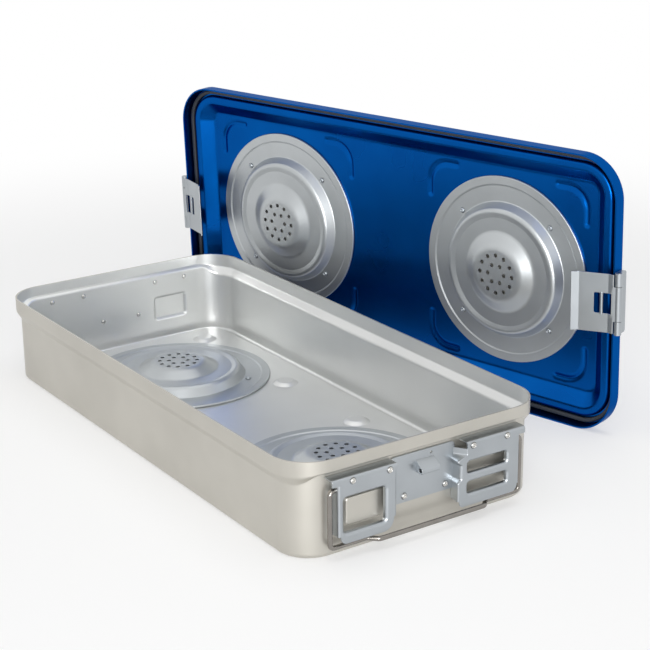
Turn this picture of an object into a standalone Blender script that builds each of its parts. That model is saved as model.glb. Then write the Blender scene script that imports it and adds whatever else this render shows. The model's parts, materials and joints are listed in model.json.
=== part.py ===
"""Rigid sterilization container: a stepped aluminium tray with its vented lid stood behind it.

The tray lies along X, and its two ends carry the same fittings, turned half round. The lid stands
on its long edge behind the tray, with its inside to the front and its latches folded inward.
Sizes are in metres and +Z is up.
"""

import math

import bmesh
import bpy
from mathutils import Matrix, Vector

# Gap kept between pieces that rest on each other
FIT_GAP = 0.0003

# Tray shell: one drawn sheet with a stepped rim and a raised floor inside a foot ring
RIM_LENGTH = 0.580
RIM_WIDTH = 0.273
TRAY_HEIGHT = 0.092
RIM_CORNER = 0.038
TRAY_SHEET = 0.0016
RIM_BAND = 0.012
RIM_STEP = 0.0048
STEP_DROP = 0.004
FOOT_EDGE = 0.005
FOOT_FLAT = 0.004
FOOT_SLOPE = 0.005
FLOOR_RISE = 0.006

# Bumps pressed up in the floor, four round each vent
BUMP_RADIUS = 0.0135
BUMP_TOP_RADIUS = 0.0085
BUMP_HEIGHT = 0.0025
BUMP_OFFSET_X = 0.086
BUMP_OFFSET_Y = 0.082

# Pocket pressed out of each end wall, behind the label window
POCKET_WIDTH = 0.042
POCKET_HEIGHT = 0.028
POCKET_DEPTH = 0.003
POCKET_SLOPE = 0.0025
POCKET_Z = 0.039

# Vents: a stepped dome over a filter disc, the same in tray and lid
VENT_INSET = 0.138
VENT_RADIUS = 0.099
VENT_SHEET = 0.0012
VENT_RISE = 0.0165
STEP_FOOT_RADIUS = 0.070
STEP_TOP_RADIUS = 0.0565
STEP_RISE = 0.0098
DOME_FOOT_RADIUS = 0.042
DOME_FOOT_RISE = 0.0112
PERFORATED_RADIUS = 0.024
PERFORATION_RADIUS = 0.0022
PERFORATION_RINGS = ((12, 0.0185), (6, 0.0095))
VENT_HOLE_RADIUS = 0.006
VENT_HOLE_RING_RADIUS = 0.030
VENT_HOLE_COUNT = 6
FILTER_RADIUS = 0.064
FILTER_THICKNESS = 0.001

# Rivets
RIVET_SHANK_RADIUS = 0.0016
RIVET_HEAD_RADIUS = 0.0032
RIVET_HEAD_HEIGHT = 0.0013
VENT_RIVET_RADIUS = 0.077
VENT_RIVET_COUNT = 4

# End fittings: holders stand off the wall on flanges, between a label side and a tag side
FITTING_SHEET = 0.0012
HOLDER_DEPTH = 0.0125
HOLDER_DROP = 0.0005
HOLDER_BOTTOM = 0.0150
HOLDER_OUTER_Y = 0.098
HOLDER_EAR_Y = 0.104
HOLDER_EAR_HEIGHT = 0.006
HOLDER_CORNER = 0.007
FLANGE_RELIEF = 0.0008
LABEL_INNER_Y = 0.037
WINDOW_MARGIN_OUT = 0.006
WINDOW_MARGIN_IN = 0.010
WINDOW_BOTTOM = 0.023
WINDOW_TOP = 0.057
WINDOW_CORNER = 0.004
TAG_INNER_Y = 0.030
TAG_CUT_Y = 0.0385
TAG_CUT_DROP = 0.0105
TAG_CUT_RISE = 0.007
SLOT_INNER_Y = 0.0385
SLOT_OUTER_Y = 0.0835
SLOT_HEIGHT = 0.0125
SLOT_BOTTOMS = (0.0247, 0.0444)
SLOT_CORNER = 0.004
HOLDER_RIVET_Y = (0.0452, 0.0834)
HOLDER_RIVET_DROP = 0.004

# Strike plate and lug at the middle of each end
STRIKE_LOW_Y = -(LABEL_INNER_Y - 2 * FIT_GAP)
STRIKE_HIGH_Y = TAG_INNER_Y - 2 * FIT_GAP
STRIKE_BOTTOM = 0.031
STRIKE_SHEET = 0.0015
STRIKE_CORNER = 0.004
STRIKE_RIVET_Y = 0.0224
STRIKE_RIVET_Z = 0.037
LUG_HALF_WIDTH = 0.0098
LUG_DROP = 0.0075
LUG_HEIGHT = 0.0115
LUG_LIP = 0.004
LUG_REACH = 0.0095
SEAL_HOLE_RADIUS = 0.002

# Bail handle: a bent wire that hangs from the holders' outer flanges
WIRE_RADIUS = 0.00225
WIRE_BEND = 0.004
BAIL_RUN_GAP = 0.00175
BAIL_PIVOT_DROP = 0.0115
BAIL_PIVOT_OUT = 0.0063
BAIL_END_IN = 0.005
BAIL_LEG_GAP = 0.001
GRIP_HALF_LENGTH = 0.057
GRIP_JOG = 0.008
GRIP_OFFSET = 0.008

# Lid shell: skirt, gasket channel, inner ridge, sloped side and flat panel
LID_GAP = 0.0034
LID_SHEET = 0.0016
SKIRT_RISE = 0.013
SKIRT_EDGE = 0.0016
CHANNEL_WIDTH = 0.0075
CHANNEL_SLOPE = 0.001
RIDGE_RISE = 0.0085
RIDGE_WIDTH = 0.006
PANEL_RISE = 0.021
PANEL_SLOPE = 0.0135
GASKET_RISE = 0.008

# Beads pressed out of the lid panel, a bent one at each corner of each vent
BEAD_HALF_WIDTH = 0.005
BEAD_HEIGHT = 0.002
BEAD_OFFSET_X = 0.097
BEAD_OFFSET_Y = 0.101
BEAD_BEND = 0.022
BEAD_LEG_X = 0.012
BEAD_LEG_Y = 0.013

# Where the lid stands: the middle of its lower rim edge, its turn and its lean
LID_FOOT_X = -0.0537
LID_FOOT_Y = 0.2001
LID_TURN = math.radians(14.1)
LID_LEAN = math.radians(2.0)

# Latches and their hinges
HINGE_OUT = 0.0042
HINGE_RISE = 0.001
KNUCKLE_RADIUS = 0.00375
PIN_RADIUS = 0.0013
HINGE_HALF_LENGTH = 0.0315
MIDDLE_HALF_LENGTH = 0.018
KNUCKLE_GAP = 0.0004
LEAF_SHEET = 0.0012
LEAF_HEIGHT = 0.0105
LATCH_SHEET = 0.0014
LATCH_HALF_WIDTH = 0.030
LATCH_LENGTH = 0.046
LATCH_NECK = 0.0055
LATCH_BEND = 0.004
LATCH_SET_IN = 0.0016
LATCH_FLARE_LENGTH = 0.007
LATCH_FLARE = 0.0028
LATCH_SLOT_HALF_WIDTH = 0.0104
LATCH_SLOT_START = 0.0062
LATCH_SLOT_BAR = 0.0149
LATCH_SLOT_END = 0.0237
LATCH_BAR_WIDTH = 0.0026
LATCH_BAR_RADIUS = 0.0017
LATCH_FOLD = math.radians(71.0)

# Facets round a full turn
TURN_STEPS = 22
FILTER_STEPS = 14
BUMP_STEPS = 10
SMALL_STEPS = 6
CORNER_STEPS = 5

# Sizes that follow from those above
WALL_X = RIM_LENGTH / 2 - RIM_STEP
INNER_WALL_X = WALL_X - TRAY_SHEET
FLOOR_TOP = FLOOR_RISE + TRAY_SHEET
HOLDER_FACE_X = WALL_X + HOLDER_DEPTH
HOLDER_TOP = TRAY_HEIGHT - RIM_BAND - STEP_DROP - HOLDER_DROP
HOLDER_RIVET_Z = HOLDER_TOP - HOLDER_RIVET_DROP
TAG_CUT_HIGH = HOLDER_TOP - TAG_CUT_DROP
TAG_CUT_LOW = TAG_CUT_HIGH - TAG_CUT_RISE
LUG_TOP = HOLDER_TOP - LUG_DROP
LUG_BOTTOM = LUG_TOP - LUG_HEIGHT
STRIKE_FACE_X = WALL_X + FIT_GAP + STRIKE_SHEET
POCKET_Y = -(HOLDER_RIVET_Y[0] + HOLDER_RIVET_Y[1]) / 2
BAIL_PIVOT_X = WALL_X + BAIL_PIVOT_OUT
BAIL_PIVOT_Z = HOLDER_TOP - BAIL_PIVOT_DROP
BAIL_DROP = BAIL_PIVOT_Z - HOLDER_BOTTOM + BAIL_RUN_GAP + WIRE_RADIUS
BAIL_LEG_Y = HOLDER_OUTER_Y + BAIL_LEG_GAP + WIRE_BEND
LID_LENGTH = RIM_LENGTH + 2 * (LID_GAP + LID_SHEET)
LID_WIDTH = RIM_WIDTH + 2 * (LID_GAP + LID_SHEET)
LID_CORNER = RIM_CORNER + LID_GAP + LID_SHEET
HINGE_X = LID_LENGTH / 2 + HINGE_OUT
FACET_EASE = 1 / math.cos(math.pi / SMALL_STEPS)
BORE_RADIUS = (PIN_RADIUS + FIT_GAP) * FACET_EASE
RIVET_HOLE_RADIUS = (RIVET_SHANK_RADIUS + FIT_GAP) * FACET_EASE
VENT_X = RIM_LENGTH / 2 - VENT_INSET
VENT_CENTRES = (-VENT_X, VENT_X)
END_TURNS = {"left": math.pi, "right": 0.0}
MERGE = 0.00001

# Turns a flat outline drawn in its own plane to face along X, and one to face along Y
FACE_X = Matrix(((0, 0, 1, 0), (1, 0, 0, 0), (0, 1, 0, 0), (0, 0, 0, 1)))
FACE_Y = Matrix(((1, 0, 0, 0), (0, 0, -1, 0), (0, 1, 0, 0), (0, 0, 0, 1)))
RIVET_FACES_X = Matrix.Rotation(math.pi / 2, 4, "Y")

# Finishes: colour, metallic, roughness
SATIN_ALUMINIUM = ((0.62, 0.61, 0.58), 1.0, 0.38)
STAMPED_ALUMINIUM = ((0.55, 0.57, 0.59), 1.0, 0.32)
BLUE_ANODISED = ((0.005, 0.055, 0.26), 0.9, 0.25)
BRIGHT_STEEL = ((0.72, 0.72, 0.71), 1.0, 0.15)
GREY_RUBBER = ((0.09, 0.095, 0.10), 0.0, 0.7)
FILTER_PAPER = ((0.80, 0.80, 0.77), 0.0, 0.9)


def clear_scene():
    """Remove what the scene holds."""
    for item in list(bpy.data.objects):
        bpy.data.objects.remove(item, do_unlink=True)


def new_collection(name):
    """Make a collection in the scene."""
    collection = bpy.data.collections.new(name)
    bpy.context.scene.collection.children.link(collection)
    return collection


clear_scene()
PARTS = new_collection("sterilization_container")
CUTTERS = new_collection("cutters")


def finish(name, look):
    """Make a Principled material for one sub-part."""
    colour, metallic, roughness = look
    material = bpy.data.materials.new(name)
    material.use_nodes = True
    shader = material.node_tree.nodes["Principled BSDF"]
    shader.inputs["Base Color"].default_value = (*colour, 1.0)
    shader.inputs["Metallic"].default_value = metallic
    shader.inputs["Roughness"].default_value = roughness
    return material


def add_empty(name, parent, matrix):
    """Add an empty that carries pieces, placed by its own matrix under its parent."""
    empty = bpy.data.objects.new(name, None)
    PARTS.objects.link(empty)
    empty.parent = parent
    empty.matrix_basis = matrix
    return empty


def add_part(name, mesh, look, parent, matrix=None):
    """Add one sub-part with its own material under its carrier."""
    part = bpy.data.objects.new(name, mesh)
    PARTS.objects.link(part)
    part.parent = parent
    part.matrix_basis = matrix or Matrix()
    mesh.materials.append(finish(name, look))
    return part


def add_copies(name, mesh, look, parent, places):
    """Add numbered copies of one sub-part that share a mesh and a material."""
    mesh.materials.append(finish(name, look))
    for number, place in enumerate(places, 1):
        copy = bpy.data.objects.new(f"{name}_{number}", mesh)
        PARTS.objects.link(copy)
        copy.parent = parent
        copy.matrix_basis = place


def add_cutter(name, mesh, parent, matrix=None):
    """Add a hidden tool body for a Boolean."""
    cutter = bpy.data.objects.new(name, mesh)
    CUTTERS.objects.link(cutter)
    cutter.parent = parent
    cutter.matrix_basis = matrix or Matrix()
    cutter.hide_render = True
    cutter.display_type = "WIRE"
    return cutter


def combine(part, operation, mesh, matrix=None):
    """Join or cut a part with a tool body in the part's own frame."""
    name = f"{part.name}_{operation.lower()}_{len(part.modifiers)}"
    placed = part.matrix_basis @ (matrix or Matrix())
    cutter = add_cutter(name, mesh, part.parent, placed)
    modifier = part.modifiers.new(name, "BOOLEAN")
    modifier.operation = operation
    modifier.object = cutter


def thicken(part, thickness):
    """Give an open skin its sheet thickness, on the side that its faces turn away from."""
    modifier = part.modifiers.new("sheet", "SOLIDIFY")
    modifier.thickness = thickness
    modifier.offset = -1.0
    modifier.use_even_offset = True


def soften(mesh, angle=35.0):
    """Shade a mesh smooth, apart from its sharp edges."""
    mesh.shade_smooth()
    mesh.set_sharp_from_angle(angle=math.radians(angle))


def mesh_from_bmesh(name, bm):
    """Store a bmesh as a mesh."""
    mesh = bpy.data.meshes.new(name)
    bm.to_mesh(mesh)
    bm.free()
    return mesh


def mesh_from_object(item):
    """Take the evaluated mesh of a temporary object, weld it and remove the object."""
    graph = bpy.context.evaluated_depsgraph_get()
    mesh = bpy.data.meshes.new_from_object(item.evaluated_get(graph))
    bpy.data.objects.remove(item, do_unlink=True)
    bm = bmesh.new()
    bm.from_mesh(mesh)
    bmesh.ops.remove_doubles(bm, verts=bm.verts, dist=MERGE)
    bmesh.ops.recalc_face_normals(bm, faces=bm.faces)
    bm.to_mesh(mesh)
    bm.free()
    return mesh


def join_meshes(name, placed):
    """Join copies of meshes, each with its own matrix, into one mesh of separate bodies."""
    bm = bmesh.new()
    for mesh, matrix in placed:
        before = len(bm.verts)
        bm.from_mesh(mesh)
        bm.verts.ensure_lookup_table()
        bmesh.ops.transform(bm, matrix=matrix, verts=bm.verts[before:])
    return mesh_from_bmesh(name, bm)


def box_mesh(name, low, high):
    """Make a box between two corners."""
    low = Vector(low)
    high = Vector(high)
    bm = bmesh.new()
    bmesh.ops.create_cube(bm, size=1.0)
    bmesh.ops.scale(bm, vec=high - low, verts=bm.verts)
    bmesh.ops.translate(bm, vec=(low + high) / 2, verts=bm.verts)
    return mesh_from_bmesh(name, bm)


def rod_mesh(name, radius, start, end, steps=SMALL_STEPS):
    """Make a round rod between two points."""
    start = Vector(start)
    end = Vector(end)
    along = end - start
    turn = Vector((0, 0, 1)).rotation_difference(along).to_matrix().to_4x4()
    place = Matrix.Translation((start + end) / 2) @ turn
    bm = bmesh.new()
    bmesh.ops.create_cone(
        bm, cap_ends=True, segments=steps, radius1=radius, radius2=radius, depth=along.length, matrix=place
    )
    return mesh_from_bmesh(name, bm)


def turned_mesh(name, profile, steps):
    """Turn a profile of radius and height pairs, listed top to bottom, about Z."""
    mesh = bpy.data.meshes.new(name)
    points = [(radius, 0.0, height) for radius, height in profile]
    edges = [(index, index + 1) for index in range(len(points) - 1)]
    mesh.from_pydata(points, edges, [])
    item = bpy.data.objects.new(name, mesh)
    bpy.context.scene.collection.objects.link(item)
    screw = item.modifiers.new("turn", "SCREW")
    screw.steps = steps
    screw.render_steps = steps
    screw.use_merge_vertices = True
    screw.merge_threshold = MERGE
    graph = bpy.context.evaluated_depsgraph_get()
    turned = bpy.data.meshes.new_from_object(item.evaluated_get(graph))
    bpy.data.objects.remove(item, do_unlink=True)
    bm = bmesh.new()
    bm.from_mesh(turned)
    centres = [vert for vert in bm.verts if vert.co.xy.length < MERGE]
    flat = [vert for vert in centres if all(abs(face.normal.z) > 0.999 for face in vert.link_faces)]
    bmesh.ops.dissolve_verts(bm, verts=flat)
    bm.to_mesh(turned)
    bm.free()
    return turned


def plate_mesh(name, outlines, thickness):
    """Fill a flat outline, with any inner outlines left open, and extrude it about its plane."""
    curve = bpy.data.curves.new(name, "CURVE")
    curve.dimensions = "2D"
    curve.fill_mode = "BOTH"
    curve.extrude = thickness / 2
    for outline in outlines:
        spline = curve.splines.new("POLY")
        spline.points.add(len(outline) - 1)
        for point, place in zip(spline.points, outline):
            point.co = (place[0], place[1], 0.0, 1.0)
        spline.use_cyclic_u = True
    item = bpy.data.objects.new(name, curve)
    bpy.context.scene.collection.objects.link(item)
    return mesh_from_object(item)


def wire_mesh(name, points, radius, resolution=2):
    """Make a round wire along points, with closed ends."""
    curve = bpy.data.curves.new(name, "CURVE")
    curve.dimensions = "3D"
    curve.bevel_depth = radius
    curve.bevel_resolution = resolution
    curve.use_fill_caps = True
    spline = curve.splines.new("POLY")
    spline.points.add(len(points) - 1)
    for point, place in zip(spline.points, points):
        point.co = (*place, 1.0)
    item = bpy.data.objects.new(name, curve)
    bpy.context.scene.collection.objects.link(item)
    return mesh_from_object(item)


def bent_path(corners, radius, steps=2):
    """Round each corner of a path with an arc of one radius."""
    places = [Vector(corner) for corner in corners]
    path = [places[0]]
    for before, corner, after in zip(places, places[1:], places[2:]):
        come = (before - corner).normalized()
        leave = (after - corner).normalized()
        half = come.angle(leave) / 2
        inward = (come + leave).normalized()
        centre = corner + inward * (radius / math.sin(half))
        first = (corner + come * (radius / math.tan(half)) - centre).normalized()
        last = (corner + leave * (radius / math.tan(half)) - centre).normalized()
        for step in range(steps + 1):
            path.append(centre + first.slerp(last, step / steps) * radius)
    path.append(places[-1])
    return path


def rounded_outline(corners, radius, steps=2):
    """Round the corners of a closed flat outline."""
    looped = [corners[-1], *corners, corners[0]]
    path = bent_path([(x, y, 0.0) for x, y in looped], radius, steps)
    return [(point.x, point.y) for point in path[1:-1]]


def rectangle(low_x, low_y, high_x, high_y):
    """List the corners of a flat rectangle."""
    return [(low_x, low_y), (high_x, low_y), (high_x, high_y), (low_x, high_y)]


def circle(x, y, radius, steps=SMALL_STEPS):
    """List the points of a flat circle, turned so that no two holes share a level edge."""
    angles = [2 * math.pi * (step + 0.2) / steps for step in range(steps)]
    return [(x + radius * math.cos(angle), y + radius * math.sin(angle)) for angle in angles]


def round_corner_ring(length, width, corner, inset, height):
    """List the points of a rounded rectangle, drawn in from an outline by an inset."""
    radius = corner - inset
    reach_x = length / 2 - corner
    reach_y = width / 2 - corner
    ring = []
    for quarter, (side_x, side_y) in enumerate(((1, 1), (-1, 1), (-1, -1), (1, -1))):
        for step in range(CORNER_STEPS + 1):
            angle = math.pi / 2 * (quarter + step / CORNER_STEPS)
            x = side_x * reach_x + radius * math.cos(angle)
            y = side_y * reach_y + radius * math.sin(angle)
            ring.append((x, y, height))
    return ring


def pan_skin(name, length, width, corner, profile):
    """Loft rounded rectangles along a profile of insets and heights, from rim to closed panel."""
    bm = bmesh.new()
    rings = []
    for inset, height in profile:
        points = round_corner_ring(length, width, corner, inset, height)
        rings.append([bm.verts.new(point) for point in points])
    rising = profile[-1][1] > profile[0][1]
    for one, other in zip(rings, rings[1:]):
        low, high = (one, other) if rising else (other, one)
        for index in range(len(low)):
            bm.faces.new((low[index - 1], low[index], high[index], high[index - 1]))
    bm.faces.new(rings[-1] if rising else rings[-1][::-1])
    mesh = mesh_from_bmesh(name, bm)
    soften(mesh)
    return mesh


def rivet_mesh(name, grip):
    """Make a rivet with its head over z = 0 and its tail under the grip."""
    head = FIT_GAP + RIVET_HEAD_HEIGHT
    tail = -grip - FIT_GAP
    profile = [
        (0.0, head),
        (RIVET_HEAD_RADIUS, FIT_GAP),
        (RIVET_SHANK_RADIUS, FIT_GAP),
        (RIVET_SHANK_RADIUS, tail),
        (RIVET_HEAD_RADIUS, tail),
        (0.0, tail - RIVET_HEAD_HEIGHT),
    ]
    mesh = turned_mesh(name, profile, SMALL_STEPS)
    soften(mesh)
    return mesh


def ring_places(count, radius, start=0.0):
    """List places spread evenly round a circle."""
    angles = [start + 2 * math.pi * index / count for index in range(count)]
    return [(radius * math.cos(angle), radius * math.sin(angle)) for angle in angles]


def vent_rivet_places():
    """List the rivet places round a vent, on its diagonals."""
    return ring_places(VENT_RIVET_COUNT, VENT_RIVET_RADIUS, math.pi / VENT_RIVET_COUNT)


def vent_panel_holes(sheet):
    """Make the hole cutters that a vent needs in the sheet behind it."""
    low = -2 * sheet
    high = sheet
    places = [(x, y, VENT_HOLE_RADIUS) for x, y in ring_places(VENT_HOLE_COUNT, VENT_HOLE_RING_RADIUS)]
    places.append((0.0, 0.0, VENT_HOLE_RADIUS))
    places.extend((x, y, RIVET_HOLE_RADIUS) for x, y in vent_rivet_places())
    rods = [rod_mesh("hole", radius, (x, y, low), (x, y, high)) for x, y, radius in places]
    return join_meshes("vent_holes", [(rod, Matrix()) for rod in rods])


def add_vent(prefix, side, carrier, place, sheet):
    """Add one vent, its filter and its rivets on a panel face at z = 0 of the given place."""
    low = FIT_GAP
    profile = [
        (0.0, VENT_RISE),
        (PERFORATED_RADIUS, VENT_RISE),
        (DOME_FOOT_RADIUS, DOME_FOOT_RISE),
        (STEP_TOP_RADIUS, STEP_RISE),
        (STEP_FOOT_RADIUS, low),
        (VENT_RADIUS, low),
    ]
    skin = turned_mesh("vent_skin", profile, TURN_STEPS)
    skin.flip_normals()
    soften(skin, 60.0)
    plate = add_part(f"{prefix}_vent_plate_{side}", skin, STAMPED_ALUMINIUM, carrier, place)
    thicken(plate, VENT_SHEET)
    drills = [(x, y, RIVET_HOLE_RADIUS, 0.0) for x, y in vent_rivet_places()]
    for count, radius in PERFORATION_RINGS:
        drills.extend((x, y, PERFORATION_RADIUS, VENT_RISE) for x, y in ring_places(count, radius))
    reach = 2 * VENT_SHEET
    rods = [rod_mesh("drill", size, (x, y, z - reach), (x, y, z + reach)) for x, y, size, z in drills]
    combine(plate, "DIFFERENCE", join_meshes("drills", [(rod, Matrix()) for rod in rods]))

    disc = rod_mesh("filter", FILTER_RADIUS, (0, 0, low), (0, 0, low + FILTER_THICKNESS), FILTER_STEPS)
    add_part(f"{prefix}_filter_{side}", disc, FILTER_PAPER, carrier, place)

    top = low + VENT_SHEET
    rivet = rivet_mesh("vent_rivet", top + sheet)
    places = [place @ Matrix.Translation((x, y, top)) for x, y in vent_rivet_places()]
    add_copies(f"{prefix}_vent_rivet_{side}", rivet, STAMPED_ALUMINIUM, carrier, places)


def arc_points(centre_inset, centre_height, radius, start, end, steps=2):
    """List inset and height pairs round an arc of a sheet profile."""
    points = []
    for step in range(steps + 1):
        angle = start + (end - start) * step / steps
        points.append((centre_inset + radius * math.cos(angle), centre_height + radius * math.sin(angle)))
    return points


def bump_mesh(grow, low, high):
    """Make a round bump body, larger or smaller than the pressed form by a wall."""
    profile = [
        (0.0, high),
        (BUMP_TOP_RADIUS + grow, high),
        (BUMP_RADIUS + grow, high - BUMP_HEIGHT),
        (BUMP_RADIUS + grow, low),
        (0.0, low),
    ]
    return turned_mesh("bump", profile, BUMP_STEPS)


def pocket_mesh(grow, start_x, end_x):
    """Make a tapered block along X, for the pocket pressed out of an end wall."""
    mesh = box_mesh(
        "pocket",
        (start_x, POCKET_Y - POCKET_WIDTH / 2 - grow, POCKET_Z - POCKET_HEIGHT / 2 - grow),
        (end_x, POCKET_Y + POCKET_WIDTH / 2 + grow, POCKET_Z + POCKET_HEIGHT / 2 + grow),
    )
    for vertex in mesh.vertices:
        if vertex.co.x > (start_x + end_x) / 2:
            vertex.co.y -= math.copysign(POCKET_SLOPE, vertex.co.y - POCKET_Y)
            vertex.co.z -= math.copysign(POCKET_SLOPE, vertex.co.z - POCKET_Z)
    return mesh


def holder_rivet_places():
    """List the Y and Z of the rivets that hold an end's two holders."""
    return [(side * y, HOLDER_RIVET_Z) for y in HOLDER_RIVET_Y for side in (-1, 1)]


def strike_rivet_places():
    """List the Y and Z of the rivets that hold an end's strike plate."""
    return [(side * STRIKE_RIVET_Y, STRIKE_RIVET_Z) for side in (-1, 1)]


def add_tray(root):
    """Add the tray shell and its vents."""
    band_low = TRAY_HEIGHT - RIM_BAND
    foot_in = RIM_STEP + FOOT_EDGE + FOOT_FLAT
    profile = [
        (0.0, TRAY_HEIGHT),
        (0.0, band_low),
        (RIM_STEP, band_low - STEP_DROP),
        *arc_points(RIM_STEP + FOOT_EDGE, FOOT_EDGE, FOOT_EDGE, math.pi, 1.5 * math.pi),
        (foot_in, 0.0),
        (foot_in + FOOT_SLOPE, FLOOR_RISE),
    ]
    skin = pan_skin("tray_skin", RIM_LENGTH, RIM_WIDTH, RIM_CORNER, profile)
    tray = add_part("tray_shell", skin, SATIN_ALUMINIUM, root)
    thicken(tray, TRAY_SHEET)

    half = TRAY_SHEET / 2
    bump = bump_mesh(0.0, FLOOR_RISE + half, FLOOR_TOP + BUMP_HEIGHT)
    hollow = bump_mesh(-TRAY_SHEET, FLOOR_RISE - half, FLOOR_RISE + BUMP_HEIGHT)
    boss = pocket_mesh(TRAY_SHEET / 2, INNER_WALL_X + half, WALL_X + POCKET_DEPTH)
    press = pocket_mesh(-TRAY_SHEET / 2, INNER_WALL_X - half, INNER_WALL_X + POCKET_DEPTH)
    bump_places = [
        Matrix.Translation((x + side_x * BUMP_OFFSET_X, side_y * BUMP_OFFSET_Y, 0.0))
        for x in VENT_CENTRES
        for side_x in (-1, 1)
        for side_y in (-1, 1)
    ]
    end_places = [Matrix.Rotation(turn, 4, "Z") for turn in END_TURNS.values()]
    bodies = [(bump, place) for place in bump_places] + [(boss, place) for place in end_places]
    combine(tray, "UNION", join_meshes("pressed_out", bodies))

    holes = vent_panel_holes(TRAY_SHEET)
    cuts = [(hollow, place) for place in bump_places] + [(press, place) for place in end_places]
    cuts.extend((holes, Matrix.Translation((x, 0.0, FLOOR_TOP))) for x in VENT_CENTRES)
    for y, z in holder_rivet_places() + strike_rivet_places():
        start = (INNER_WALL_X - TRAY_SHEET, y, z)
        rod = rod_mesh("rivet_hole", RIVET_HOLE_RADIUS, start, (WALL_X + TRAY_SHEET, y, z))
        cuts.extend((rod, place) for place in end_places)
    combine(tray, "DIFFERENCE", join_meshes("pressed_in", cuts))

    for side, x in zip(("left", "right"), VENT_CENTRES):
        add_vent("tray", side, root, Matrix.Translation((x, 0.0, FLOOR_TOP)), TRAY_SHEET)


def flange_box(low_y, high_y, low_z, high_z):
    """Make a holder flange that runs from the wall into the holder's front plate."""
    start = WALL_X + FIT_GAP
    end = HOLDER_FACE_X - FITTING_SHEET / 2
    return box_mesh("flange", (start, low_y, low_z), (end, high_y, high_z))


def slanted_flange(high_z):
    """Make the tag holder's upper inner flange, slanted from the wall to the cut-back front edge."""
    start = WALL_X + FIT_GAP
    end = HOLDER_FACE_X - FITTING_SHEET / 2
    corners = [
        (start, TAG_INNER_Y),
        (end, TAG_CUT_Y),
        (end, TAG_CUT_Y + FITTING_SHEET),
        (start, TAG_INNER_Y + FITTING_SHEET),
    ]
    flange = plate_mesh("slanted_flange", [corners], high_z - TAG_CUT_HIGH)
    flange.transform(Matrix.Translation((0.0, 0.0, (high_z + TAG_CUT_HIGH) / 2)))
    return flange


def rivet_openings(sign):
    """List the rivet holes of one holder's front plate."""
    return [circle(sign * y, HOLDER_RIVET_Z, RIVET_HOLE_RADIUS) for y in HOLDER_RIVET_Y]


def add_holder(name, end, outline, openings, flanges, pivot_y):
    """Add a holder: a front plate, its flanges, and the bail's bearing in its outer flange."""
    front = plate_mesh(name, [outline, *openings], FITTING_SHEET)
    front.transform(Matrix.Translation((HOLDER_FACE_X - FITTING_SHEET / 2, 0, 0)) @ FACE_X)
    holder = add_part(name, front, STAMPED_ALUMINIUM, end)
    combine(holder, "UNION", join_meshes("flanges", [(flange, Matrix()) for flange in flanges]))
    reach = 2 * FITTING_SHEET
    start = (BAIL_PIVOT_X, pivot_y - reach, BAIL_PIVOT_Z)
    end_point = (BAIL_PIVOT_X, pivot_y + reach, BAIL_PIVOT_Z)
    bearing = rod_mesh("bearing", (WIRE_RADIUS + FIT_GAP) * FACET_EASE, start, end_point)
    combine(holder, "DIFFERENCE", bearing)


def add_label_holder(side, end):
    """Add the holder with the label window, on the -Y side of an end."""
    outer = -HOLDER_OUTER_Y
    inner = -LABEL_INNER_Y
    ear_low = HOLDER_TOP - HOLDER_EAR_HEIGHT
    corner_low = rounded_outline(rectangle(outer, HOLDER_BOTTOM, inner, HOLDER_TOP), HOLDER_CORNER)
    low_points = [point for point in corner_low if point[1] < (HOLDER_BOTTOM + HOLDER_TOP) / 2]
    outline = low_points + [
        (inner, HOLDER_TOP),
        (-HOLDER_EAR_Y, HOLDER_TOP),
        (-HOLDER_EAR_Y, ear_low),
        (outer, ear_low),
    ]
    window_sides = (outer + WINDOW_MARGIN_OUT, inner - WINDOW_MARGIN_IN)
    window_corners = rectangle(window_sides[0], WINDOW_BOTTOM, window_sides[1], WINDOW_TOP)
    window = rounded_outline(window_corners, WINDOW_CORNER)
    flange_low = HOLDER_BOTTOM + HOLDER_CORNER
    flange_high = HOLDER_TOP - FITTING_SHEET - FLANGE_RELIEF
    flanges = [
        flange_box(-HOLDER_EAR_Y, inner, HOLDER_TOP - FITTING_SHEET, HOLDER_TOP),
        flange_box(outer, outer + FITTING_SHEET, flange_low, flange_high),
        flange_box(inner - FITTING_SHEET, inner, flange_low, flange_high),
    ]
    add_holder(f"label_holder_{side}", end, outline, [window, *rivet_openings(-1)], flanges, outer)


def add_tag_holder(side, end):
    """Add the holder with two tag slots, on the +Y side of an end."""
    outer = HOLDER_OUTER_Y
    ear_low = HOLDER_TOP - HOLDER_EAR_HEIGHT
    corner_low = rounded_outline(rectangle(TAG_INNER_Y, HOLDER_BOTTOM, outer, HOLDER_TOP), HOLDER_CORNER)
    low_points = [point for point in corner_low if point[1] < (HOLDER_BOTTOM + HOLDER_TOP) / 2]
    outline = low_points + [
        (outer, ear_low),
        (HOLDER_EAR_Y, ear_low),
        (HOLDER_EAR_Y, HOLDER_TOP),
        (TAG_CUT_Y, HOLDER_TOP),
        (TAG_CUT_Y, TAG_CUT_HIGH),
        (TAG_INNER_Y, TAG_CUT_LOW),
    ]
    slots = [
        rounded_outline(rectangle(SLOT_INNER_Y, low, SLOT_OUTER_Y, low + SLOT_HEIGHT), SLOT_CORNER)
        for low in SLOT_BOTTOMS
    ]
    flange_low = HOLDER_BOTTOM + HOLDER_CORNER
    flange_high = HOLDER_TOP - FITTING_SHEET - FLANGE_RELIEF
    flanges = [
        flange_box(TAG_CUT_Y, HOLDER_EAR_Y, HOLDER_TOP - FITTING_SHEET, HOLDER_TOP),
        flange_box(outer - FITTING_SHEET, outer, flange_low, flange_high),
        flange_box(TAG_INNER_Y, TAG_INNER_Y + FITTING_SHEET, flange_low, TAG_CUT_LOW),
        slanted_flange(flange_high),
    ]
    add_holder(f"tag_holder_{side}", end, outline, [*slots, *rivet_openings(1)], flanges, outer)


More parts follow.
